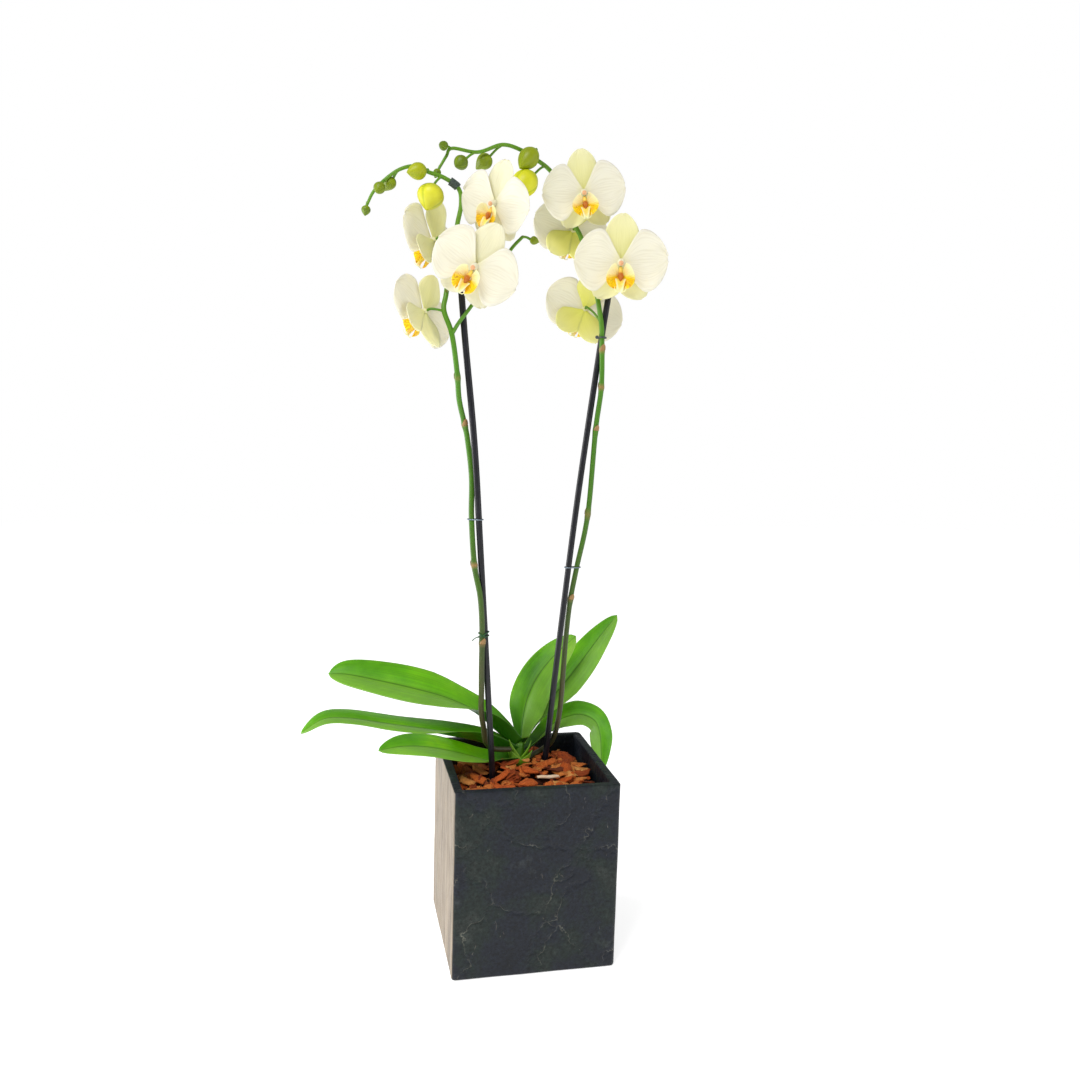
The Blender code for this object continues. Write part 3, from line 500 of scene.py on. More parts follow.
CHIPS = [
    (-0.056, -0.052, 0.022, 0.015, 0.003, 20, 8), (-0.029, -0.053, 0.025, 0.016, 0.0032, -35, -6),
    (-0.004, -0.048, 0.026, 0.018, 0.003, 60, 7), (0.004, -0.018, 0.02, 0.014, 0.0028, -15, 10),
    (0.046, -0.006, 0.021, 0.015, 0.003, 75, -8), (0.044, -0.056, 0.024, 0.014, 0.003, 10, 5),
    (0.03, 0.004, 0.018, 0.013, 0.0028, 40, -7), (-0.052, 0.052, 0.022, 0.015, 0.003, -50, 6),
    (0.02, -0.058, 0.02, 0.014, 0.0028, -70, 6),
]
CHIP_LIFT, CHIP_GROWTH = 0.0006, 1.06
for number, (x, y, length, width, thick, yaw, lean) in enumerate(CHIPS, 1):
    low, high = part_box(f"bark_chip_{number}")
    chip = new_shape()
    size = (length * CHIP_GROWTH, width * CHIP_GROWTH, thick)
    lay_chip(chip, (x, y, (low.z + high.z) / 2 + CHIP_LIFT), size, (yaw, lean, 0), (0.45, 0.8), number)
    build(f"bark_flake_{number}", chip, bark, "pine_bark", f"bark_chip_{number}")
print("large chips:", len(CHIPS))

# %% [markdown]
# ## Bark: the loose bed
# Between the large chips lie smaller ones of every length and tone, and some thin curls. Real bark is
# poured, so the chips fall at random: each gets a random place, size and lean, and is left out where
# the crown, a stake or the pale stick needs the room. A dark, lumpy sheet lies below, so that no gap
# between chips shows the empty pot; its darkest bark tone is painted shade for those gaps.

# %% Loose bark
rng = random.Random(11)
bed = new_shape()
GRID, TRIES, CURLS, CHIP_REACH, CURL_REACH = 60, 360, 34, 0.07, 0.066
ticks = [BED_HALF * (2 * i / GRID - 1) for i in range(GRID + 1)]
top_rows = [[Vector((x, y, bark_level(x, y) - 0.005 + 0.0022 * noise.noise(Vector((x * 260, y * 260, 2.0)))))
             for x in ticks] for y in ticks]
# Painted shade: the sheet under the chips takes the darkest bark tone, for the shade in the gaps.
lay_sheet(bed, top_rows, 0.004, (0, 0, 1), tone=0.02)
ROOM = [((0.013, -0.032), 0.001), ((0.0215, -0.03), 0.001), ((0.03, -0.028), 0.001),
        ((0.0005, 0.025), 0.0095), ((-0.0347, -0.011), 0.0045), ((0.033, 0.036), 0.0045)]


def blocked(x, y, reach):
    """True where a chip would pass through the crown or a stake, or hide the pale stick."""
    return any(math.hypot(x - cx, y - cy) < r + reach for (cx, cy), r in ROOM)


placed = 0
for attempt in range(TRIES):
    x, y = rng.uniform(-CHIP_REACH, CHIP_REACH), rng.uniform(-CHIP_REACH, CHIP_REACH)
    length = rng.uniform(0.013, 0.026) if attempt % 3 else rng.uniform(0.006, 0.012)
    width = length * rng.uniform(0.5, 0.85)
    level_up = rng.uniform(-0.001, 0.0042)
    turn = (rng.uniform(0, 360), rng.gauss(0, 19), rng.gauss(0, 17))
    if blocked(x, y, length * 0.42) or max(abs(x), abs(y)) + length * 0.4 > BED_HALF:
        continue
    lay_chip(bed, (x, y, bark_level(x, y) + level_up), (length, width, rng.uniform(0.0011, 0.0022)), turn,
             (0.1, 1.0), attempt + 100)
    placed += 1
for curl in range(CURLS):
    x, y = rng.uniform(-CURL_REACH, CURL_REACH), rng.uniform(-CURL_REACH, CURL_REACH)
    if blocked(x, y, 0.008):
        continue
    way, z = rng.uniform(0, 2 * math.pi), bark_level(x, y) + 0.0035
    bend = [Vector((x + t * 0.01 * math.cos(way + t * 1.6), y + t * 0.01 * math.sin(way + t * 1.6),
                    z + 0.0035 * math.sin(t * 3))) for t in np.linspace(0, 1, 7)]
    lay_tube(bed, bend, [0.00035 * (1 - 0.6 * k / 6) for k in range(7)], 5, tone=rng.uniform(0.75, 1.0))
bark_bed = build("bark_loose", bed, bark, "pine_bark", "bark_bed")
print("loose chips:", placed, "faces:", len(bark_bed.data.polygons))

# %% [markdown]
# ## A split stick
# A pale sliver of fresh wood lies on the bark. It is split rather than sawn, so its faces are flat
# along the grain and its ends are ragged. A box would look sawn, so a short tube with seven uneven
# sides is used, and the grain is a noise stretched along its length.

# %% Split stick
split_wood, tree, shader = surface("fresh_split_wood", Roughness=0.7, IOR=1.45)
strip = add(tree, "UVMap", uv_map="strip")
grain_at = add(tree, "Mapping", {"Vector": strip, "Scale": (26.0, 1.6, 1.0)})
grain = cloudy(tree, grain_at, 1.0, 5.0)
pale = ramp(tree, grain, (0.3, "#b98558"), (0.45, "#e6c39a"), (0.6, "#fbe6cf"))
feed(tree, pale, shader, "Base Color")
emboss(tree, shader, grain, 0.5, 0.0004)

STICK_LENGTH, STICK_HALF_WIDTH, STICK_HALF_HEIGHT = 0.0255, 0.003, 0.0017
STICK_TURN, STICK_ROWS = math.radians(14), 15
STICK_OUTLINE = [(1.0, 0.15), (0.62, 0.85), (-0.3, 1.0), (-1.0, 0.45), (-0.82, -0.55), (0.05, -0.9),
                 (0.8, -0.6)]
low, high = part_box("wood_stick")
middle = (low + high) / 2 + Vector((0, 0, 0.0022))
way = Vector((math.cos(STICK_TURN), math.sin(STICK_TURN), -0.1)).normalized()
side, up = way.cross(Vector((0, 0, 1))).normalized(), Vector((0, 0, 1))
rows = []
for i in range(STICK_ROWS):
    s = i / (STICK_ROWS - 1)
    fat = 1 - 0.25 * abs(2 * s - 1) ** 4
    ragged = [0.0016 * noise.noise(Vector((k * 3.1, i // 13, 0.5))) for k in range(len(STICK_OUTLINE))]
    rows.append([middle + way * ((s - 0.5) * STICK_LENGTH + (r if s in (0, 1) else 0))
                 + side * (a * STICK_HALF_WIDTH * fat)
                 + up * (b * STICK_HALF_HEIGHT * fat + 0.0003 * math.sin(s * 9))
                 for (a, b), r in zip(STICK_OUTLINE, ragged)])
stick = new_shape()
lay_grid(stick, rows, wrap=True, ends=True)
build("split_stick", stick, split_wood, "split_wood", "wood_stick")
print("stick at", tuple(round(v, 3) for v in middle))

# %% [markdown]
# ## Stakes
# Each spike is held by a steel rod in a smooth plastic coat, almost black, with a satin shine. The
# coat has fine lengthwise draw lines and a little dust. The rods are tubes with a rounded top.

# %% Coated rods
rod_coat, tree, shader = surface("satin_plastic_coat", IOR=1.46)
where = in_object(tree)
dust = cloudy(tree, where, 160.0, 4.0)
coat = ramp(tree, dust, (0.35, "#08090f"), (0.6, "#0f1019"), (0.75, "#1d1d26"))
feed(tree, coat, shader, "Base Color")
drawn = add(tree, "Mapping", {"Vector": where, "Scale": (1400.0, 1400.0, 30.0)})
lines = cloudy(tree, drawn, 1.0, 2.0)
satin = remap(tree, lines, 0.3, 0.7, 0.28, 0.42)
feed(tree, satin, shader, "Roughness")
emboss(tree, shader, lines, 0.15, 0.0002)

ROD_RADIUS = 0.0033
STAKES = {
    "stake_left": [(-0.028, -0.011, 0.1), (-0.035, -0.011, 0.186), (-0.052, -0.01, 0.416),
                   (-0.061, -0.009, 0.534), (-0.073, -0.008, 0.643), (-0.081, -0.008, 0.728)],
    "stake_right": [(0.025, 0.035, 0.1), (0.0335, 0.036, 0.188), (0.0475, 0.04, 0.332),
                    (0.0635, 0.043, 0.484), (0.083, 0.046, 0.64), (0.093, 0.047, 0.712)],
}
for name, points in STAKES.items():
    route = smooth_route(points, 6)
    rod = new_shape()
    lay_tube(rod, route, [ROD_RADIUS] * len(route), 24)
    build(name + "_rod", rod, rod_coat, "coated_rod", name)
print("rods:", list(STAKES))

# %% [markdown]
# ## Leaves: the finish
# A moth orchid's leaf is thick and leathery under a clear wax. Its veins run lengthwise, the midrib
# is a dark groove, the margin is thin and lighter, and the underside is painted much darker as
# painted shade. The green is never even, so two noises mottle it. A little subsurface lets light
# bleed into the margins. The wax is a low roughness with a thin coat, and the near half of each upper
# face is painted a pale grey-green as a painted sheen of a grazing view. Each leaf is painted darker
# near its foot as painted shade, and the sheaths round the stem are pale.

# %% Waxy leaf
leaf_wax, tree, shader = surface("waxy_leaf", IOR=1.45, Subsurface_Weight=0.12, Subsurface_Scale=0.004,
                                 Coat_Weight=0.14, Coat_Roughness=0.25, Specular_IOR_Level=0.38)
shader.inputs["Subsurface Radius"].default_value = (0.8, 1.0, 0.1)
where = in_object(tree)
across, along = across_along(tree)
upper = painted(tree, "upper")
vein_at = add(tree, "CombineXYZ", {0: calc(tree, "MULTIPLY", across, 70.0),
                                   1: calc(tree, "MULTIPLY", along, 2.5)})
veins = cloudy(tree, vein_at, 1.0, 3.0)
mottle = cloudy(tree, where, 22.0, 6.0, Roughness=0.55)
green = ramp(tree, mottle, (0.3, "#4a9400"), (0.45, "#5aa600"), (0.58, "#69b400"), (0.74, "#84c608"))
lined = remap(tree, veins, 0.35, 0.65, 0.8, 1.12)
veined = blend(tree, 1.0, green, lined, "MULTIPLY")
off_middle = calc(tree, "ABSOLUTE", calc(tree, "SUBTRACT", across, 0.5))
rib = remap(tree, off_middle, 0.004, 0.022, 0.85, 0.0)
ribbed = blend(tree, rib, veined, "#0c3502")
beside = remap(tree, off_middle, 0.03, 0.12, 0.16, 0.0)
edge = remap(tree, off_middle, 0.465, 0.5, 0.0, 0.55)
light = calc(tree, "MAXIMUM", beside, edge)
edged = blend(tree, light, ribbed, "#8cc63c")
sheath = painted(tree, "sheath")
# Painted shade: each leaf is painted darker near its foot, where it lies in shade.
foot_shade_share = remap(tree, along, 0.08, 0.4, 0.78, 0.0)
foot_shaded = blend(tree, foot_shade_share, edged, "#1f5c06")
footed = blend(tree, sheath, foot_shaded, "#86b52c")
# Painted shade: the underside is painted much darker than the upper face.
dark = blend(tree, 0.72, footed, "#1c5a08")
# Painted sheen: the near half of each upper face is painted a pale grey-green, standing in for a grazing
# reflection.
near_half_sheen = remap(tree, across, 0.5, 0.56, 0.0, 0.34)
painted_sheen = blend(tree, near_half_sheen, footed, "#9cc258")
both = blend(tree, upper, dark, painted_sheen)
feed(tree, both, shader, "Base Color")
dull = remap(tree, mottle, 0.3, 0.7, 0.3, 0.44)
feed(tree, dull, shader, "Roughness")
grain = cloudy(tree, where, 900.0, 2.0)
height = calc(tree, "ADD", veins, grain)
emboss(tree, shader, height, 0.35, 0.0005)
print("leaf has", len(tree.nodes), "nodes")

# %% [markdown]
# ## Leaves: the blades
# Each leaf follows its midrib from the crown outwards. At its foot it is folded into a channel that
# clasps the short stem, and it opens into a broad blade that leans and twists a little. The same
# formula as the CAD's is used, with many more points. On top of it come what makes a leaf look
# grown: a soft bend in place of a sharp fold, halves that arch, and a margin that waves slowly.

# %% Leaf blades and crown
LEAF_THICK, SHEATH_SHARE, STEPS, COLUMNS = 0.0016, 0.38, 8, 21
LEAVES = {
    "leaf_left_upper": ([(-0.003, 0.026, 0.204), (-0.022, 0.029, 0.22), (-0.047, 0.035, 0.241),
                         (-0.08, 0.041, 0.256), (-0.114, 0.046, 0.2655), (-0.145, 0.051, 0.2725),
                         (-0.184, 0.056, 0.2805), (-0.205, 0.058, 0.2815)],
                        0.0275, 0.7, (-8, 30, 36), (66, 14), 0.36),
    "leaf_left_lower": ([(-0.003, 0.025, 0.195), (-0.022, 0.0265, 0.202), (-0.045, 0.03, 0.2105),
                         (-0.078, 0.031, 0.2185), (-0.11, 0.027, 0.227), (-0.147, 0.02, 0.236),
                         (-0.183, 0.012, 0.2455), (-0.21, 0.006, 0.2475),
                         (-0.233, 0.000, 0.235)], 0.023, 0.72, (-6, 2, 4), (64, 6), 0.5),
    "leaf_left_front": ([(-0.0045, 0.0205, 0.1885), (-0.02, 0.016, 0.19), (-0.04, 0.01, 0.1945),
                         (-0.0625, -0.004, 0.206), (-0.0895, -0.022, 0.219), (-0.1135, -0.034, 0.2275),
                         (-0.1355, -0.042, 0.231), (-0.157, -0.048, 0.23)],
                        0.0205, 0.66, (6, 18, 22), (42, 8), 0.45),
    "leaf_centre": ([(0.003, 0.0275, 0.21), (0.0075, 0.042, 0.227), (0.015, 0.056, 0.2474),
                     (0.0285, 0.066, 0.2698), (0.05, 0.076, 0.2914),
                     (0.0774, 0.086, 0.311)], 0.0245, 0.88, (12, 36, 44), (50, 14), 0.36),
    "leaf_right_upper": ([(0.004, 0.029, 0.201), (0.02, 0.052, 0.2165), (0.04, 0.073, 0.233),
                          (0.0643, 0.089, 0.252), (0.0872, 0.1, 0.2749), (0.11, 0.11, 0.3),
                          (0.1369, 0.12, 0.328)], 0.0205, 0.62, (8, 28, 34), (56, 18), 0.4),
    "leaf_right_lower": ([(0.004, 0.027, 0.193), (0.0215, 0.042, 0.2), (0.039, 0.058, 0.209),
                          (0.0563, 0.069, 0.2165), (0.0812, 0.075, 0.22), (0.101, 0.077, 0.211),
                          (0.1075, 0.075, 0.195), (0.1085, 0.071, 0.1777),
                          (0.108, 0.064, 0.1532)], 0.0195, 0.5, (2, 22, 74), (50, 8), 0.3),
}


def leaf_width(s, shoulder):
    """Half width as a share of the largest: a clasping base, a broad blade and a blunt tip."""
    base = SHEATH_SHARE + (shoulder - SHEATH_SHARE) * min(s / 0.14, 1.0)
    swell = min(max((s - 0.14) / 0.38, 0.0), 1.0)
    blade = base + (1 - shoulder) * swell * swell * (3 - 2 * swell)
    end = max((s - 0.55) / 0.45, 0.0)
    return blade * max(1 - end ** 2.0, 0.0006) ** 0.62


def eased(values, reach=5):
    """The values averaged with their neighbours, so that they change without a kink."""
    return np.convolve(np.pad(values, reach, mode="edge"), np.ones(2 * reach + 1) / (2 * reach + 1), "valid")


def leaf_grids(points, half_width, shoulder, tilts, folds, opens_at, seed):
    """The upper and the under face of a leaf, and the share of the length of each row."""
    route = smooth_route(points, STEPS)
    last = len(route) - 1
    way = 1 if points[-1][0] < 0 else -1
    upper, under, shares = [], [], []
    ticks = np.linspace(-1, 1, COLUMNS)
    stages = np.linspace(0, 1, last + 1)
    leans = eased(np.radians(np.interp(stages, (0.15, 0.5, 0.85), tilts)))
    creases = eased(np.radians(np.interp(stages, (0.12, opens_at), folds)))
    widths = np.array([half_width * leaf_width(s, shoulder) for s in stages])
    widths = np.where(stages < 0.5, eased(widths), widths)
    for i, point in enumerate(route):
        s, lean, crease, width = stages[i], leans[i], creases[i], widths[i]
        ahead = (route[min(i + 1, last)] - route[max(i - 1, 0)]).normalized()
        if i == 0:
            side = way * Vector((0, 0, 1)).cross(ahead)
        side = (side - ahead * side.dot(ahead)).normalized()
        up = way * ahead.cross(side)
        out = side * math.cos(lean) - up * math.sin(lean)
        above = up * math.cos(lean) + side * math.sin(lean)
        open_share = min(max((s - 0.15) / 0.25, 0), 1)
        top, bottom = [], []
        for t in ticks:
            bend = math.sqrt(t * t + 0.006) - 0.0775
            arch = 0.1 * open_share * math.sin(math.pi * abs(t)) * (1 - 0.5 * abs(t))
            wave = 0.035 * open_share * t * t * noise.noise(Vector((s * 5, t * 1.2 + seed, seed)))
            lift = bend * math.sin(crease) + arch + wave
            place = point + (out * (t * math.cos(crease)) + above * lift) * width
            tilt = math.sin(crease) * t / math.sqrt(t * t + 0.02)
            facing_up = (above * math.sqrt(max(1 - tilt * tilt, 0)) - out * tilt).normalized()
            thick = LEAF_THICK * (1 - 0.72 * abs(t) ** 2.2) * (1 + 0.55 * math.exp(-(t / 0.1) ** 2))
            top.append(place)
            bottom.append(place - facing_up * thick * min(1, 0.3 + width / 0.006))
        upper.append(top)
        under.append(bottom)
        shares.append(s)
    return np.array(upper, float), np.array(under, float), np.array(shares)


def lay_leaf(shape, upper, under, shares):
    rows, columns = upper.shape[:2]
    a = lay_grid(shape, upper, upper=1.0)
    b = lay_grid(shape, under, upper=0.0)
    for start in (a, b):
        for k in range(rows * columns):
            shape["strips"][start + k] = (shape["strips"][start + k][0], float(shares[k // columns]))
    close_rim(shape, a, b, rows, columns)


CROWN_HEIGHTS, CROWN_RADII = (0.172, 0.19, 0.2055), (0.008, 0.0072, 0.0045)
SHEATHS = ((-160, 0.212), (-20, 0.21), (-150, 0.203), (-30, 0.2))  # where each looks, in degrees, and its top
SHEATH_ROOT, SHEATH_EDGE, SHEATH_ROWS, SHEATH_SPREAD = 0.176, 0.1865, 14, 100

crown = new_shape()
axis = smooth_route([(0, 0.024, 0.172), (0.0005, 0.025, 0.19), (0.001, 0.026, 0.2055)], 6)
lay_tube(crown, axis, [float(np.interp(p.z, CROWN_HEIGHTS, CROWN_RADII)) for p in axis], 20, sheath=0.75)
for seed, (name, spec) in enumerate(LEAVES.items()):
    upper_face, under_face, shares = leaf_grids(*spec, seed)
    blade = new_shape()
    lay_leaf(blade, upper_face, under_face, shares)
    build(name + "_blade", blade, leaf_wax, "leaf", name)
for level, (lean, top_z) in enumerate(SHEATHS):
    rows, reach = [], 0.0082 + 0.0009 * level
    for i in range(SHEATH_ROWS):
        row, s = [], i / (SHEATH_ROWS - 1)
        for a in np.linspace(-SHEATH_SPREAD, SHEATH_SPREAD, 25):
            off = abs(a) / SHEATH_SPREAD
            peak = top_z - (top_z - SHEATH_EDGE) * off ** 0.9
            z = SHEATH_ROOT + (peak - SHEATH_ROOT) * s
            r = reach + 0.0048 * s ** 2 * (1 - off) - 0.0008 * s * off
            turn = math.radians(lean + a)
            row.append(Vector((0.0003 + r * math.cos(turn), 0.025 + r * math.sin(turn), z)))
        rows.append(row)
    outwards = (math.cos(math.radians(lean)), math.sin(math.radians(lean)), 0)
    lay_sheet(crown, rows, 0.0008, outwards, sheath=0.7)
    print("sheath", level, "reaches", top_z)
build("crown_and_sheaths", crown, leaf_wax, "leaf", "crown")
print("leaves:", len(LEAVES))

# %% [markdown]
# ## Flower spikes: the finish
# A spike is green at its young end and turns olive brown towards its foot, and its lowest part, down
# among the leaves, is painted dark green as painted shade. Small pale dots, the pores of the skin,
# cover it. At each node a ring is brown where a dry scale was attached. Height picks the colour, and
# the painted ring value brings the brown in.

# %% Spike skin
skin, tree, shader = surface("spike_skin", Roughness=0.42, IOR=1.45, Subsurface_Weight=0.08,
                             Subsurface_Scale=0.002)
where = in_object(tree)
height = add(tree, "SeparateXYZ", {0: where}).outputs[2]
share = remap(tree, height, 0.2, 0.82, 0.0, 1.0)
cloud = cloudy(tree, where, 90.0, 4.0)
moved = calc(tree, "MULTIPLY_ADD", cloud, 0.22, share)
# Painted shade: the lowest stop is dark green, for the part of the spike down among the leaves.
aged_and_foot_shade = ramp(tree, moved, (0.08, "#25330f"), (0.16, "#4a4528"), (0.3, "#3b4d16"), (0.55, "#40700e"), (0.8,
            "#48800e"), (1.0, "#5f8f18"))
pores = add(tree, "TexVoronoi", {"Vector": where, "Scale": 620.0, "Randomness": 1.0})
dots = remap(tree, pores.outputs["Distance"], 0.1, 0.18, 0.22, 0.0)
dotted = blend(tree, dots, aged_and_foot_shade, "#b5bd7c")
ring = painted(tree, "ring")
scaly = blend(tree, ring, dotted, "#9a7748")
feed(tree, scaly, shader, "Base Color")
emboss(tree, shader, cloud, 0.3, 0.0003)
print("spike skin has", len(tree.nodes), "nodes")

# %% [markdown]
# ## Flowers: where they hang
# Eight flowers are open. Each has a centre, the way its face looks and a size. The matrix that
# turns a flower drawn flat on a table into its place in the air is shared by its petals, its lip
# and the end of its stalk.

# %% Places of flowers and buds
FLOWERS = {
    "flower_left_front": ((-0.0709, -0.055, 0.7017), (-22, -10, 30), 0.98),
    "flower_left_top": ((-0.0509, -0.042, 0.7634), (-46, -6, 16), 0.9),
    "flower_left_side": ((-0.1047, 0.012, 0.7344), (-135, -12, -22), 0.96),
    "flower_left_low": ((-0.1139, 0.000, 0.6632), (-135, -14, -32), 0.95),
    "flower_right_top": ((0.0572, 0.038, 0.7983), (-12, -8, -7), 0.98),
    "flower_right_front": ((0.0946, 0.018, 0.7259), (-16, -8, 0), 1.1),
    "flower_right_back": ((0.0557, 0.08, 0.7658), (-175, -10, -12), 1.00),
    "flower_right_low": ((0.0715, 0.077, 0.6817), (-178, -12, -20), 1.02),
}
PEDICEL_ROOTS = {
    "flower_left_front": (-0.0915, -0.003, 0.683), "flower_left_top": (-0.0775, 0.002, 0.768),
    "flower_left_side": (-0.087, 0.002, 0.717), "flower_left_low": (-0.0938, -0.008, 0.664),
    "flower_right_top": (0.048, 0.06, 0.786), "flower_right_front": (0.078, 0.05, 0.702),
    "flower_right_back": (0.06, 0.06, 0.76), "flower_right_low": (0.0803, 0.0425, 0.668),
}
PEDICEL_BOWS = {"flower_left_front": (-0.009, -0.006, 0.008)}
BUDS = {
    "bud_left_1": ((-0.097, 0.002, 0.795), (-0.1091, -0.005, 0.7721), 0.027, 0.0265),
    "bud_left_2": ((-0.113, 0.002, 0.799), (-0.1235, -0.0105, 0.795), 0.0205, 0.0165),
    "bud_left_3": ((-0.139, 0.002, 0.798), (-0.148, 0.009, 0.785), 0.0155, 0.0125),
    "bud_left_4": ((-0.153, 0.002, 0.787), (-0.1585, -0.0065, 0.777), 0.014, 0.0115),
    "bud_left_5": ((-0.169, 0.002, 0.765), (-0.1705, 0.002, 0.757), 0.01, 0.009),
    "bud_left_6": ((-0.017, -0.01, 0.7405), (-0.0045, -0.01, 0.7375), 0.0095, 0.0085),
    "bud_right_1": ((0.017, 0.0525, 0.826), (-0.0095, 0.034, 0.8005), 0.0345, 0.027),
    "bud_right_2": ((0.008, 0.051, 0.831), (-0.005, 0.036, 0.8265), 0.029, 0.021),
    "bud_right_3": ((-0.03, 0.045, 0.8415), (-0.0486, 0.0525, 0.824), 0.02, 0.0165),
    "bud_right_4": ((-0.058, 0.041, 0.831), (-0.0755, 0.03, 0.816), 0.016, 0.015),
    "bud_right_5": ((-0.084, 0.037, 0.831), (-0.0935, 0.028, 0.8312), 0.011, 0.0095),
    "bud_right_6": ((-0.095, 0.035, 0.813), (-0.0985, 0.035, 0.805), 0.01, 0.008),
}

NODS = {"bud_left_1": (-0.3, -0.25, -0.92), "bud_left_2": (-0.9, -0.35, -0.25),
        "bud_right_1": (-0.68, -0.28, -0.68), "bud_right_2": (-0.6, -0.32, -0.73)}


def facing(centre, angles, size):
    heading, pitch, roll = (math.radians(a) for a in angles)
    flat = math.cos(pitch)
    face = Vector((math.sin(heading) * flat, -math.cos(heading) * flat, math.sin(pitch)))
    sideways = Vector((math.cos(heading), math.sin(heading), 0))
    up = face.cross(sideways)
    across = sideways * math.cos(roll) - up * math.sin(roll)
    upright = up * math.cos(roll) + sideways * math.sin(roll)
    turn = Matrix((across, upright, face)).transposed().to_4x4()
    return Matrix.Translation(centre) @ turn @ Matrix.Scale(size, 4)


def bud_ends(name):
    root, centre, length, _ = BUDS[name]
    away = Vector(NODS.get(name, Vector(centre) - Vector(root))).normalized()
    return Vector(centre) - away * (length / 2), Vector(centre) + away * (length / 2)


print("flowers:", len(FLOWERS), "buds:", len(BUDS))

# %% [markdown]
# ## Flower spikes: the stems
# The spike is a tube that thins towards its end, with a swelling and a dry scale at each node. The
# stalks of flowers and buds leave it sideways: each arches over and widens where it meets the
# flower's back. They are laid in the same mesh as the spike, because they are one living piece.

# %% Spikes
SPIKE_LEFT = [
    (-0.0115, 0.0145, 0.203), (-0.022, 0.01, 0.205), (-0.033, 0.005, 0.2085), (-0.041, 0.001, 0.218),
    (-0.044, -0.003, 0.233), (-0.048, -0.008, 0.254), (-0.049, -0.013, 0.277), (-0.05, -0.0165, 0.305),
    (-0.0505, -0.0175, 0.345), (-0.053, -0.0165, 0.378), (-0.059, -0.012, 0.41), (-0.0622, -0.007, 0.458),
    (-0.0622, -0.002, 0.5), (-0.067, -0.001, 0.538), (-0.071, -0.003, 0.555), (-0.077, -0.006, 0.578),
    (-0.08, -0.009, 0.605), (-0.086, -0.01, 0.642), (-0.094, -0.008, 0.665), (-0.0915, -0.003, 0.682),
    (-0.087, 0.002, 0.714), (-0.081, 0.002, 0.75), (-0.0775, 0.002, 0.77), (-0.0805, 0.002, 0.785),
    (-0.095, 0.002, 0.794), (-0.11, 0.002, 0.798), (-0.123, 0.002, 0.8025), (-0.137, 0.002, 0.799),
    (-0.151, 0.002, 0.789), (-0.163, 0.002, 0.776), (-0.1697, 0.002, 0.7623)]
BRANCH = [(-0.086, -0.01, 0.642), (-0.08, -0.0145, 0.653), (-0.07, -0.0175, 0.667),
          (-0.05, -0.016, 0.696), (-0.029, -0.012, 0.727), (-0.017, -0.01, 0.7405)]
SPIKE_RIGHT = [
    (0.012, 0.027, 0.1883), (0.02, 0.0365, 0.1885), (0.033, 0.045, 0.1915), (0.0425, 0.0455, 0.2),
    (0.0475, 0.044, 0.217), (0.051, 0.0435, 0.247), (0.0545, 0.045, 0.313), (0.058, 0.044, 0.359),
    (0.064, 0.043, 0.398), (0.0745, 0.042, 0.458), (0.08, 0.042, 0.55), (0.0845, 0.041, 0.597),
    (0.083, 0.0395, 0.645), (0.081, 0.042, 0.672), (0.0735, 0.055, 0.722), (0.061, 0.06, 0.757),
    (0.054, 0.06, 0.7695), (0.043, 0.06, 0.7995), (0.0245, 0.054, 0.821), (0.008, 0.051, 0.831),
    (-0.009, 0.048, 0.8385), (-0.03, 0.045, 0.8415), (-0.056, 0.041, 0.831), (-0.083, 0.037, 0.8315),
    (-0.089, 0.036, 0.823), (-0.0963, 0.035, 0.8102)]
NODES = {"left": [0.33, 0.41, 0.553, 0.6], "right": [0.362, 0.459, 0.548, 0.597, 0.637]}
THICK_END, THIN_END, STALK, CLEAR = 0.003, 0.0014, 0.0012, 0.0003


def spike_radius(share, z, heights):
    radius = THICK_END + (THIN_END - THICK_END) * share ** 2.5
    return radius + sum(0.0007 * math.exp(-((z - h) / 0.0035) ** 2) for h in heights)


def flower_stalk(name):
    matrix = facing(*FLOWERS[name])
    behind = -matrix.to_3x3().col[2].normalized()
    end = matrix @ Vector((0, 0.0005, -0.005)) + behind * 3 * CLEAR
    root = Vector(PEDICEL_ROOTS[name])
    turn = end + behind * 0.0045
    bow = Vector(PEDICEL_BOWS.get(name, behind * 0.1 * (turn - root).length))
    return [root, (root + turn) / 2 + bow, turn, end]


def lay_stalk(shape, points):
    route = smooth_route(points, 7)
    last = len(route) - 1
    radii = [STALK * (1.0 + 0.35 * math.exp(-i / 2) + 0.12 * (i / last) ** 3) for i in range(last + 1)]
    lay_tube(shape, route, radii, 12, ring=np.array([[0.55 * math.exp(-i / 1.5)] for i in range(last + 1)]))


def lay_bract(shape, route, radii, at, turn, length=0.0065):
    """A dry scale that hugs the stem just above a node."""
    ahead, side, up = frames_along(route)[at]
    rows = []
    for k in range(8):
        s = k / 7
        half = math.radians(62) * (1 - s ** 1.8) + 0.02
        row = []
        for a in np.linspace(-half, half, 7):
            way = side * math.cos(turn + a) + up * math.sin(turn + a)
            row.append(route[at] + ahead * (s * length) + way * (radii[at] + 0.0003 + 0.0011 * s * s))
        rows.append(row)
    lay_sheet(shape, rows, 0.0003, tuple(side * math.cos(turn) + up * math.sin(turn)), ring=1.0)


def lay_spike(shape, points, heights, steps=10):
    route = smooth_route(points, steps)
    last = len(route) - 1
    radii = [spike_radius(i / last, p.z, heights) for i, p in enumerate(route)]
    rings = [[max((math.exp(-((p.z - h) / 0.0012) ** 2) for h in heights), default=0)] for p in route]
    lay_tube(shape, route, radii, 20, ring=np.array(rings) * 0.9)
    for number, h in enumerate(heights):
        at = min(range(len(route)), key=lambda i: abs(route[i].z - h))
        lay_bract(shape, route, radii, at, number * math.pi + 0.6)


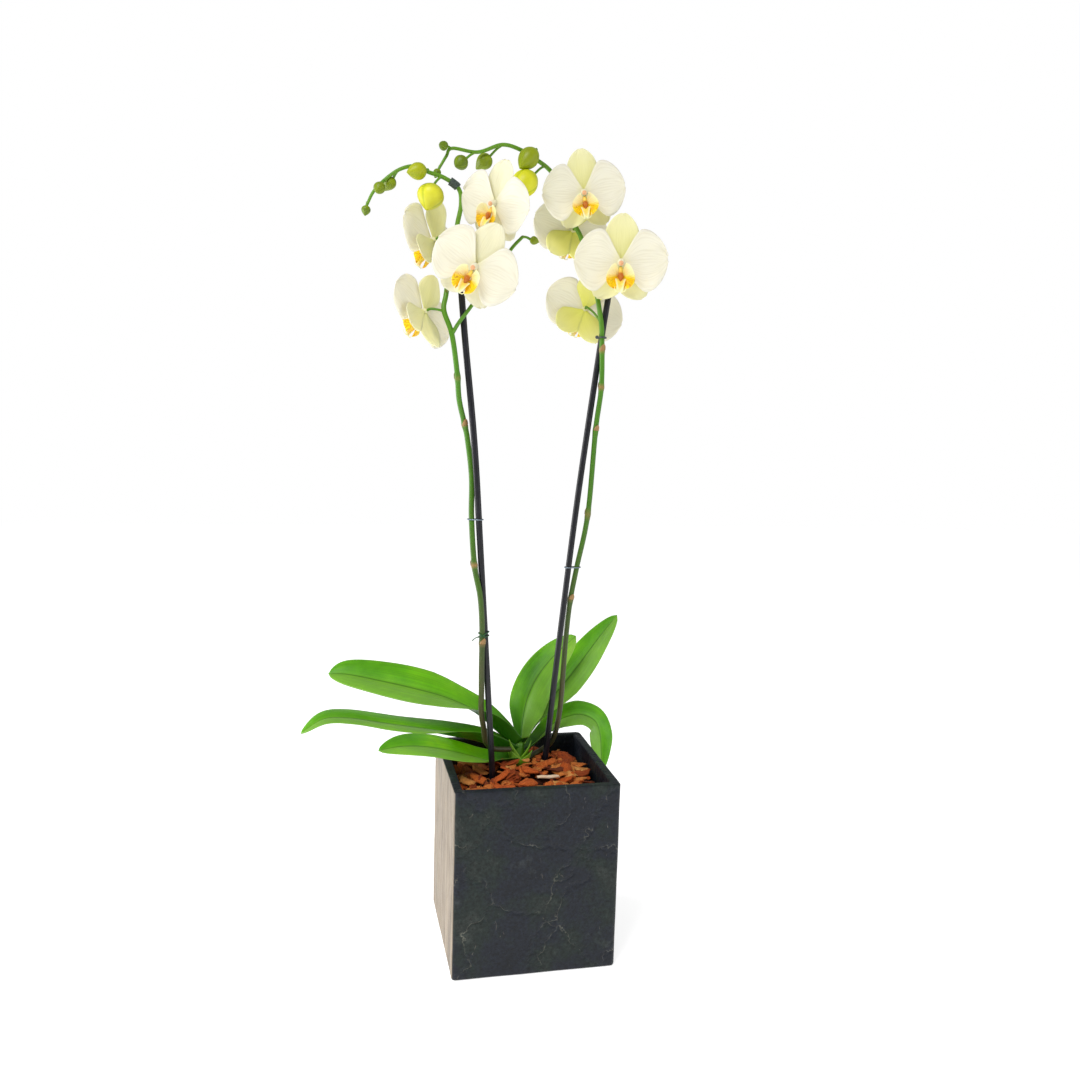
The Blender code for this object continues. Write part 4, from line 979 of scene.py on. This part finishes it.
for side_name, points in (("left", SPIKE_LEFT), ("right", SPIKE_RIGHT)):
    stem = new_shape()
    lay_spike(stem, points, NODES[side_name])
    if side_name == "left":
        arm = smooth_route(BRANCH, 8)
        lay_tube(stem, arm, [0.002 - 0.0004 * i / len(arm) for i in range(len(arm))], 14, ring=0.0)
    for name in FLOWERS:
        if f"_{side_name}_" in name:
            lay_stalk(stem, flower_stalk(name))
    for name, (root, centre, length, width) in BUDS.items():
        start, tip = bud_ends(name)
        away = (tip - start).normalized()
        end, turn = start + away * 0.0004, start - away * 0.003
        if f"_{side_name}_" in name and (end - Vector(root)).length > 0.003:
            rest = [turn, end] if name in NODS else [end]
            lay_stalk(stem, [Vector(root), (Vector(root) + rest[0]) / 2 + Vector((0, 0, 0.0008)), *rest])
    build("stem_" + side_name, stem, skin, "stem", "spike_" + side_name)
print("spikes:", 2)

# %% [markdown]
# ## Flowers: the finish of petals
# Petals are thin, so light passes through them, and their cells sparkle like velvet. They are warm
# white with faint veins that fan out from the centre. The three sepals behind are tinted green and
# yellow, most of all on their backs. A painted value says how strongly each point is tinted, because
# no two flowers are tinted alike.

# %% Petal
petal, tree, shader = surface("petal_tissue", Roughness=0.55, IOR=1.4, Subsurface_Weight=0.35,
                              Subsurface_Scale=0.004, Sheen_Weight=0.15)
shader.inputs["Subsurface Radius"].default_value = (1.0, 0.9, 0.6)
across, along = across_along(tree)
where = in_object(tree)
upper = painted(tree, "upper")
sepal = painted(tree, "sepal")
anther = painted(tree, "anther")
centred = calc(tree, "SUBTRACT", across, 0.5)
fan = add(tree, "CombineXYZ", {0: calc(tree, "MULTIPLY", centred, 42.0),
                               1: calc(tree, "MULTIPLY", along, 3.0)})
veins = cloudy(tree, fan, 1.0, 3.0, Distortion=0.4)
cells = cloudy(tree, where, 900.0, 2.0)
white = ramp(tree, veins, (0.3, "#ddd7c0"), (0.42, "#e1dbc6"), (0.6, "#e5e0cc"))
hollow = remap(tree, along, 0.0, 0.3, 0.55, 0.0)
warm = blend(tree, hollow, white, "#e6e08c")
tinge = ramp(tree, along, (0.0, "#dcdc30"), (0.5, "#e2de6e"), (1.0, "#e6e2a0"))
seen = remap(tree, upper, 0.0, 1.0, 0.9, 0.55)
much = calc(tree, "MULTIPLY", seen, sepal)
lined = remap(tree, veins, 0.35, 0.55, 0.97, 1.0)
tinged = blend(tree, much, warm, tinge)
faint = blend(tree, 1.0, tinged, lined, "MULTIPLY")
tipped = blend(tree, anther, faint, "#e2ab80")
feed(tree, tipped, shader, "Base Color")
relief = calc(tree, "ADD", veins, cells)
emboss(tree, shader, relief, 0.05, 0.0004)
print("petal has", len(tree.nodes), "nodes")

# %% [markdown]
# ## Flowers: petals, sepals and column
# Three sepals lie behind two broad petals, all from one point behind the column. Each is a thin
# sheet whose width follows an outline curve. Real ones differ, so each gets its own slow ruffle
# near the margin and a groove along its middle. The column is a short white tube with the anther
# as a pinkish tan cap at its tip.

# %% Petals and sepals
SEPALS = [(90, 0.046, 0.0165, 0.52, 0.45, -0.0022, 0.0012, -0.004),
          (234, 0.04, 0.0155, 0.52, 0.45, -0.0024, 0.0015, -0.007),
          (306, 0.04, 0.0155, 0.52, 0.45, -0.0024, 0.0015, -0.007)]
TINTS = {"flower_left_front": 0.4, "flower_left_top": 0.4, "flower_left_side": 0.6, "flower_left_low": 0.55}
PETALS = [(174, 0.045, 0.029, 0.5, 0.5, 0.0012, 0.0016, -0.0008),
          (6, 0.045, 0.029, 0.5, 0.5, 0.0012, 0.0016, -0.0008)]


def outline(s, widest, base):
    power = math.log(0.5) / math.log(widest)
    swell = max(math.sin(math.pi * min(max(s, 0.0), 1.0) ** power), 0.0) ** 0.55
    claw = min(s / widest, 1.0)
    return swell * (base + (1 - base) * claw * claw * (3 - 2 * claw))


PETAL_ROWS, PETAL_COLUMNS, PETAL_THICK, SEPAL_RUFFLE, PETAL_RUFFLE = 26, 17, 0.0008, 0.0022, 0.0034
SPINE_HEIGHTS, SPINE_RADII, CAP_FROM = (-0.005, 0.0, 0.006, 0.0095), (0.0022, 0.0036, 0.003, 0.002), 0.0078


def tepal_grid(angle, length, half_width, widest, base, depth, cup, sweep, ruffle, seed):
    along = Vector((math.cos(math.radians(angle)), math.sin(math.radians(angle)), 0))
    across, face, grid = Vector((-along.y, along.x, 0)), Vector((0, 0, 1)), []
    for i in range(PETAL_ROWS):
        s = 0.02 + 0.972 * (1 - math.cos(math.pi * i / (PETAL_ROWS - 1))) / 2
        width = half_width * outline(s, widest, base)
        row = []
        for t in np.linspace(-1, 1, PETAL_COLUMNS):
            lift = depth + sweep * s * s + cup * t * t * width / half_width
            lift += ruffle * noise.noise(Vector((s * 3.2, t * 1.6, seed))) * (0.25 + abs(t)) * s
            lift -= 0.0005 * math.exp(-(t / 0.12) ** 2) * (1 - s)
            lift += 0.00002 * math.sin(t * 34 + 2 * noise.noise(Vector((s * 3, t, seed)))) * s
            row.append(along * (s * length) + across * (t * width) + face * lift)
        grid.append(row)
    return grid


def place(shape, matrix):
    shape["points"] = [tuple(matrix @ Vector(p)) for p in shape["points"]]


for number, (name, spot) in enumerate(FLOWERS.items()):
    bloom = new_shape()
    for k, spec in enumerate(SEPALS + PETALS):
        is_sepal = TINTS.get(name, 1.0) if k < 3 else 0.0
        grid = tepal_grid(*spec, SEPAL_RUFFLE if is_sepal else PETAL_RUFFLE, number * 7.3 + k * 1.9)
        lay_sheet(bloom, grid, PETAL_THICK, (0, 0, 1), sepal=is_sepal, anther=0.0)
    spine = smooth_route([(0, 0.0005, -0.005), (0, 0.0008, 0.0), (0, 0.0006, 0.006), (0, -0.0008, 0.0095)], 5)
    sizes = [float(np.interp(p.z, SPINE_HEIGHTS, SPINE_RADII)) for p in spine]
    cap = np.array([[1.0 if p.z > CAP_FROM else 0.0] for p in spine])
    lay_tube(bloom, spine, sizes, 18, sepal=0.15, anther=cap)
    place(bloom, facing(*spot))
    build(name + "_petals", bloom, petal, "petal", name + "_tepals")
print("open flowers:", len(FLOWERS))

# %% [markdown]
# ## Flowers: the lip
# The third petal is the lip, the landing stage for insects. Its two side lobes stand up like a pair
# of brackets, pale at their tips and striped red-brown on yellow lower down. Between them sits an
# orange callus, and a narrow middle lobe reaches down and ends in two curled tendrils.

# %% Lip
lip_skin, tree, shader = surface("lip_tissue", Roughness=0.42, IOR=1.42, Subsurface_Weight=0.2,
                                 Subsurface_Scale=0.002)
across, along = across_along(tree)
where = in_object(tree)
pale = painted(tree, "pale")
rust = painted(tree, "rust")
wander = cloudy(tree, where, 160.0, 2.0)
wavy = calc(tree, "MULTIPLY_ADD", wander, 0.35, along)
turns = calc(tree, "SINE", calc(tree, "MULTIPLY", wavy, 84.0))
striped = remap(tree, turns, 0.45, 0.95, 0.0, 0.6)
low_part = calc(tree, "SUBTRACT", 1.0, pale)
stripes = calc(tree, "MULTIPLY", striped, low_part)
yellow = ramp(tree, wander, (0.3, "#f0bc00"), (0.5, "#fcd606"), (0.7, "#ffe61c"))
white = blend(tree, pale, yellow, "#f5efbe")
lined = blend(tree, stripes, white, "#a8401c")
rusty = blend(tree, rust, lined, "#b8661a")
feed(tree, rusty, shader, "Base Color")
emboss(tree, shader, wander, 0.3, 0.0003)

LIP_CENTRE, LIP_RADIUS, LIP_DEPTH = -0.0115, 0.0142, 0.0085
CALLUS = [(0, -0.0045, 0.0048), (0, -0.009, 0.0068), (0, -0.013, 0.0088), (0, -0.0172, 0.01)]


def lip_shape(number):
    """Two side lobes that form a cup, the callus in it, and a middle lobe with tendrils below."""
    lip = new_shape()
    for way in (-1, 1):
        rows, pales = [], []
        for i in range(26):
            turn = math.radians(-70 + 138 * i / 25)
            reach = LIP_RADIUS * (1 + 0.05 * math.sin(i / 25 * 9 + number) - 0.16 * (i / 25) ** 4)
            row, light = [], []
            for t in np.linspace(0, 1, 13):
                out = 0.003 + (reach - 0.003) * t
                lift = 0.005 + LIP_DEPTH * (out / LIP_RADIUS) ** 1.6 + 0.0004 * math.sin(i * 0.9 + number) * t
                row.append(Vector((way * out * math.cos(turn) * (1 - 0.05 * t ** 3),
                                   LIP_CENTRE + out * math.sin(turn), lift)))
                light.append(min(max((math.sin(turn) + 0.25) / 0.45, 0), 1) * (0.45 + 0.55 * t))
            rows.append(row)
            pales.append(light)
        lay_sheet(lip, rows, 0.0006, (0, 0, 1), pale=np.array(pales), rust=0.0)
    rows = []
    for i in range(22):
        s = i / 21
        width = 0.0042 * (1 - 0.8 * s) + 0.0008
        centre = Vector((0, -0.0145 - 0.012 * s, 0.008 + 0.0065 * math.sin(1.9 * s)))
        rows.append([centre + Vector((t * width, 0, 0.0016 * abs(t) ** 1.5)) for t in np.linspace(-1, 1, 11)])
    edge_white = np.array([[min(1.0, 0.15 + abs(t) ** 3 + (i / 21) ** 3) for t in np.linspace(-1, 1, 11)]
                           for i in range(22)])
    lay_sheet(lip, rows, 0.0008, (0, 0, 1), pale=edge_white, rust=0.0)
    tip = rows[-1][5]
    for way in (-1, 1):
        bend = [tip + Vector((way * (0.0004 + 0.005 * math.sin(1.9 * t)),
                              0.0052 * t ** 1.4 - 0.001 * math.sin(3 * t), 0.003 * t))
                for t in np.linspace(0, 1, 12)]
        lay_tube(lip, bend, [0.0005 * (1 - 0.6 * k / 11) for k in range(12)], 8, pale=1.0, rust=0.0)
    route = smooth_route(CALLUS, 6)
    fat = np.interp(np.linspace(0, 1, len(route)), (0, 0.33, 0.62, 1), (0.0016, 0.002, 0.0032, 0.0005))
    rusty_part = np.array([[min(max((-p.y - 0.0085) / 0.002, 0), 1)] for p in route])
    lay_tube(lip, route, list(fat), 16, pale=0.2, rust=rusty_part)
    return lip


for number, (name, spot) in enumerate(FLOWERS.items()):
    lip = lip_shape(number)
    place(lip, facing(*spot))
    build(name + "_landing", lip, lip_skin, "lip", name + "_lip")
print("lips:", len(FLOWERS))

# %% [markdown]
# ## Buds
# A bud is three sepals folded shut. Their edges meet in three seams that run from the stalk to the
# pointed tip, and the skin between is a little ribbed. Old buds are yellow, young ones green.
# One value per bud, painted on all its points, picks its age.

# %% Buds
bud_skin, tree, shader = surface("bud_skin", Roughness=0.42, IOR=1.42)
across, along = across_along(tree)
where = in_object(tree)
age = painted(tree, "age")
seam = painted(tree, "seam")
cloud = cloudy(tree, where, 60.0, 3.0)
rib_at = add(tree, "CombineXYZ", {0: calc(tree, "MULTIPLY", across, 12.0), 1: along})
ribs = cloudy(tree, rib_at, 1.0, 2.0)
ripe = ramp(tree, age, (0.0, "#4c6c02"), (0.4, "#849400"), (0.7, "#cccd10"), (1.0, "#e6e044"))
shaded = remap(tree, cloud, 0.3, 0.7, 0.86, 1.08)
dappled = blend(tree, 1.0, ripe, shaded, "MULTIPLY")
green_foot = remap(tree, along, 0.0, 0.35, 0.6, 0.0)
footed = blend(tree, green_foot, dappled, "#9db418")
seam_on = calc(tree, "MULTIPLY", seam, 0.55)
seamed = blend(tree, seam_on, footed, "#8ba60e")
feed(tree, seamed, shader, "Base Color")
emboss(tree, shader, ribs, 0.06, 0.0002)

AGES = {"bud_left_1": 0.85, "bud_left_2": 0.52, "bud_left_3": 0.28, "bud_left_4": 0.25, "bud_left_5": 0.12,
        "bud_left_6": 0.3, "bud_right_1": 0.75, "bud_right_2": 0.42, "bud_right_3": 0.28, "bud_right_4": 0.15,
        "bud_right_5": 0.1, "bud_right_6": 0.06}
BUD_ROWS, BUD_SIDES = 25, 36
for name, (_, _, _, width) in BUDS.items():
    start, tip = bud_ends(name)
    axis = tip - start
    side = axis.orthogonal().normalized()
    up = axis.normalized().cross(side)
    rows, seams = [], []
    for i in range(BUD_ROWS):
        s = 0.005 + 0.985 * i / (BUD_ROWS - 1)
        t = 0.02 + 0.965 * s
        radius = width / 2 * math.sin(math.pi * t ** 0.75) ** (0.62 + 0.33 * t)
        row, marks = [], []
        for k in range(BUD_SIDES):
            a = 2 * math.pi * k / BUD_SIDES
            groove = math.exp(-((math.sin(1.5 * a)) / 0.16) ** 2) * min(1, 3 * s)
            bulge = 1 + 0.02 * math.cos(3 * (a - math.pi / 3)) - 0.075 * groove
            out = radius * bulge
            row.append(start + axis * s + side * (out * math.cos(a)) + up * (out * math.sin(a)))
            marks.append(groove)
        rows.append(row)
        seams.append(marks)
    bud = new_shape()
    lay_grid(bud, rows, wrap=True, ends=True, age=AGES[name], seam=np.array(seams))
    build(name + "_sepals", bud, bud_skin, "bud", name)
print("buds:", len(BUDS))

# %% [markdown]
# ## Ties, clip and sleeve
# Each spike is tied to its stake in two places: by a bare wire band, and by a green twist tie with a
# loose end on the left, or a clip of dark plastic with a ball at its finger end on the right. Each
# is a wire that goes round both. A rough foam sleeve guards the left stem where it bends over.

# %% Ties
galvanised, tree, shader = surface("galvanised_band_wire", Metallic=0.85)
where = in_object(tree)
spangle = cloudy(tree, where, 500.0, 3.0)
grey = ramp(tree, spangle, (0.3, "#5b6a78"), (0.7, "#9aa9b5"))
feed(tree, grey, shader, "Base Color")
shine = remap(tree, spangle, 0.3, 0.7, 0.3, 0.5)
feed(tree, shine, shader, "Roughness")


def dyed(name, dark, pale_tone, roughness, scale, distance):
    """A coloured plastic or foam with an uneven skin."""
    made, tree, shader = surface(name, Roughness=roughness, IOR=1.46)
    where = in_object(tree)
    grain = cloudy(tree, where, scale, 4.0, Roughness=0.65)
    hue = ramp(tree, grain, (0.32, dark), (0.68, pale_tone))
    feed(tree, hue, shader, "Base Color")
    emboss(tree, shader, grain, 0.5, distance)
    return made


FINISHES = {"tie_wire": galvanised,
            "twist_tie": dyed("green_twist_paper", "#0f3d1c", "#2a6b38", 0.5, 600.0, 0.0002),
            "clip_plastic": dyed("moulded_clip_plastic", "#303434", "#4a5050", 0.34, 300.0, 0.0001),
            "foam_sleeve": dyed("rough_foam", "#252e29", "#56625a", 0.9, 900.0, 0.0008)}
TIES = {"tie_left_band": ("left", 0.457, 0.0006, "tie_wire"),
        "tie_left_twist": ("left", 0.338, 0.0005, "twist_tie"),
        "tie_right_band": ("right", 0.399, 0.0006, "tie_wire"),
        "tie_right_clip": ("right", 0.65, 0.0009, "clip_plastic")}


TIE_GAP, TIE_STEPS, TWIST_RISE, BALL = 0.0005, 48, 0.0022, 0.0019
LOOSE_END = (-0.0065, -0.001, -0.0035)


def point_at_height(points, z):
    route = smooth_route(points, 12)
    for a, b in zip(route, route[1:]):
        if a.z <= z <= b.z:
            return a.lerp(b, (z - a.z) / (b.z - a.z))
    return route[-1]


for name, (side_name, z, wire, finish) in TIES.items():
    rod = point_at_height(STAKES["stake_" + side_name], z)
    stem_at = point_at_height(SPIKE_LEFT if side_name == "left" else SPIKE_RIGHT, z)
    swell = spike_radius(0.2, z, NODES[side_name])
    tie = new_shape()
    loops = (-1, 1) if finish == "twist_tie" else (0,)
    for slope in loops:
        path = []
        for k in range(TIE_STEPS + 1):
            a = 2 * math.pi * k / TIE_STEPS
            way = Vector((math.cos(a), math.sin(a), 0))
            reach = [(way.dot(rod) + ROD_RADIUS, rod, ROD_RADIUS), (way.dot(stem_at) + swell, stem_at, swell)]
            _, hub, radius = max(reach, key=lambda option: option[0])
            path.append(hub + way * (radius + wire + TIE_GAP)
                        + Vector((0, 0, slope * TWIST_RISE * math.cos(a))))
        lay_tube(tie, path, [wire] * len(path), 10)
    left_end = min(path, key=lambda p: p.x)
    if finish == "twist_tie":
        x, y, drop = LOOSE_END
        loose = [left_end + Vector((x * t, y * t, drop * t * t)) for t in np.linspace(0, 1, 8)]
        lay_tube(tie, loose, [wire] * 8, 10)
    if finish == "clip_plastic":
        lay_grid(tie, [[left_end + Vector((-0.0012 + BALL * math.cos(u) * math.sin(v),
                                           BALL * math.sin(u) * math.sin(v), BALL * math.cos(v)))
                        for u in np.linspace(0, 2 * math.pi, 16, endpoint=False)]
                       for v in np.linspace(0.12, math.pi - 0.12, 11)], wrap=True, ends=True)
    build(name + "_wire", tie, FINISHES[finish], finish, name)

SLEEVE_OUTER, SLEEVE_INNER, SLEEVE_SPAN, SLEEVE_FROM = 0.0041, 0.0029, (0.7855, 0.7915), 22
SLEEVE_SIDES = 28
stretch = [p for p in smooth_route(SPIKE_LEFT, 16)[16 * SLEEVE_FROM:16 * (SLEEVE_FROM + 3)]
           if SLEEVE_SPAN[0] < p.z < SLEEVE_SPAN[1]]
sleeve_rows = []
for outside, span in ((True, stretch), (False, stretch[::-1])):
    frames = frames_along(stretch)
    frames = frames if outside else frames[::-1]
    for i, (p, (_, side, up)) in enumerate(zip(span, frames)):
        row = []
        for k in range(SLEEVE_SIDES):
            a = 2 * math.pi * k / SLEEVE_SIDES
            rough = 0.0003 * noise.noise(Vector((math.cos(a) * 3, math.sin(a) * 3, p.z * 900)))
            radius = SLEEVE_OUTER + rough if outside else SLEEVE_INNER
            row.append(p + (side * math.cos(a) + up * math.sin(a)) * radius)
        sleeve_rows.append(row)
sleeve = new_shape()
lay_grid(sleeve, sleeve_rows + sleeve_rows[:1], wrap=True)
build("foam_sleeve_ring", sleeve, FINISHES["foam_sleeve"], "foam_sleeve", "stem_collar")
print("ties:", len(TIES))

# %% [markdown]
# ## Light and floor
# A white studio: the eye sees pure white behind the plant, but only a dim part of it lights the
# plant, so that shadows stay soft and petals keep their shape. A large soft lamp stands to the front
# left and above, a weak one fills from the right, and one from the left brightens the pot's side. The
# floor is white paper that glows a little, as if lit from below, so it stays white far from the lamps.

# %% Studio
WORLD_LIGHT, FLOOR_GLOW, FLOOR_SIZE = 0.38, 0.63, 8
world = bpy.data.worlds.new("studio")
world.use_nodes = True
bpy.context.scene.world = world
tree = world.node_tree
tree.nodes.clear()
seen = add(tree, "Background", {"Color": (1, 1, 1, 1), "Strength": 1.0})
lit = add(tree, "Background", {"Color": (1, 1, 1, 1), "Strength": WORLD_LIGHT})
is_seen = add(tree, "LightPath").outputs["Is Camera Ray"]
either = add(tree, "MixShader", {0: is_seen, 1: lit, 2: seen})
add(tree, "OutputWorld", {0: either})


def softbox(name, at, target, size, watts):
    lamp = bpy.data.lights.new(name, "AREA")
    lamp.shape, lamp.size, lamp.size_y, lamp.energy = "RECTANGLE", size[0], size[1], watts
    holder = bpy.data.objects.new(name, lamp)
    holder.location = at
    holder.rotation_euler = (Vector(target) - Vector(at)).to_track_quat("-Z", "Y").to_euler()
    bpy.context.scene.collection.objects.link(holder)


softbox("key", (-1.1, -1.2, 2.0), (0, 0, 0.45), (1.0, 1.0), 29)
softbox("fill", (1.5, -0.9, 0.9), (0, 0, 0.4), (1.0, 1.4), 6)
softbox("side", (-1.6, 0.5, 0.6), (0, 0, 0.25), (0.9, 1.2), 16)

bpy.ops.mesh.primitive_plane_add(size=FLOOR_SIZE, location=(0, 0, -0.0005))
floor = bpy.context.object
floor.name = "floor"
paper, tree, shader = surface("lit_white_paper", Roughness=0.9, Emission_Color=(1, 1, 1, 1),
                              Emission_Strength=FLOOR_GLOW)
fibre = cloudy(tree, in_object(tree), 6.0, 3.0)
tint = ramp(tree, fibre, (0.3, "#f6f6f6"), (0.7, "#fbfbfb"))
feed(tree, tint, shader, "Base Color")
floor.data.materials.append(paper)
bpy.context.scene.view_settings.view_transform = "Standard"
print("studio ready")
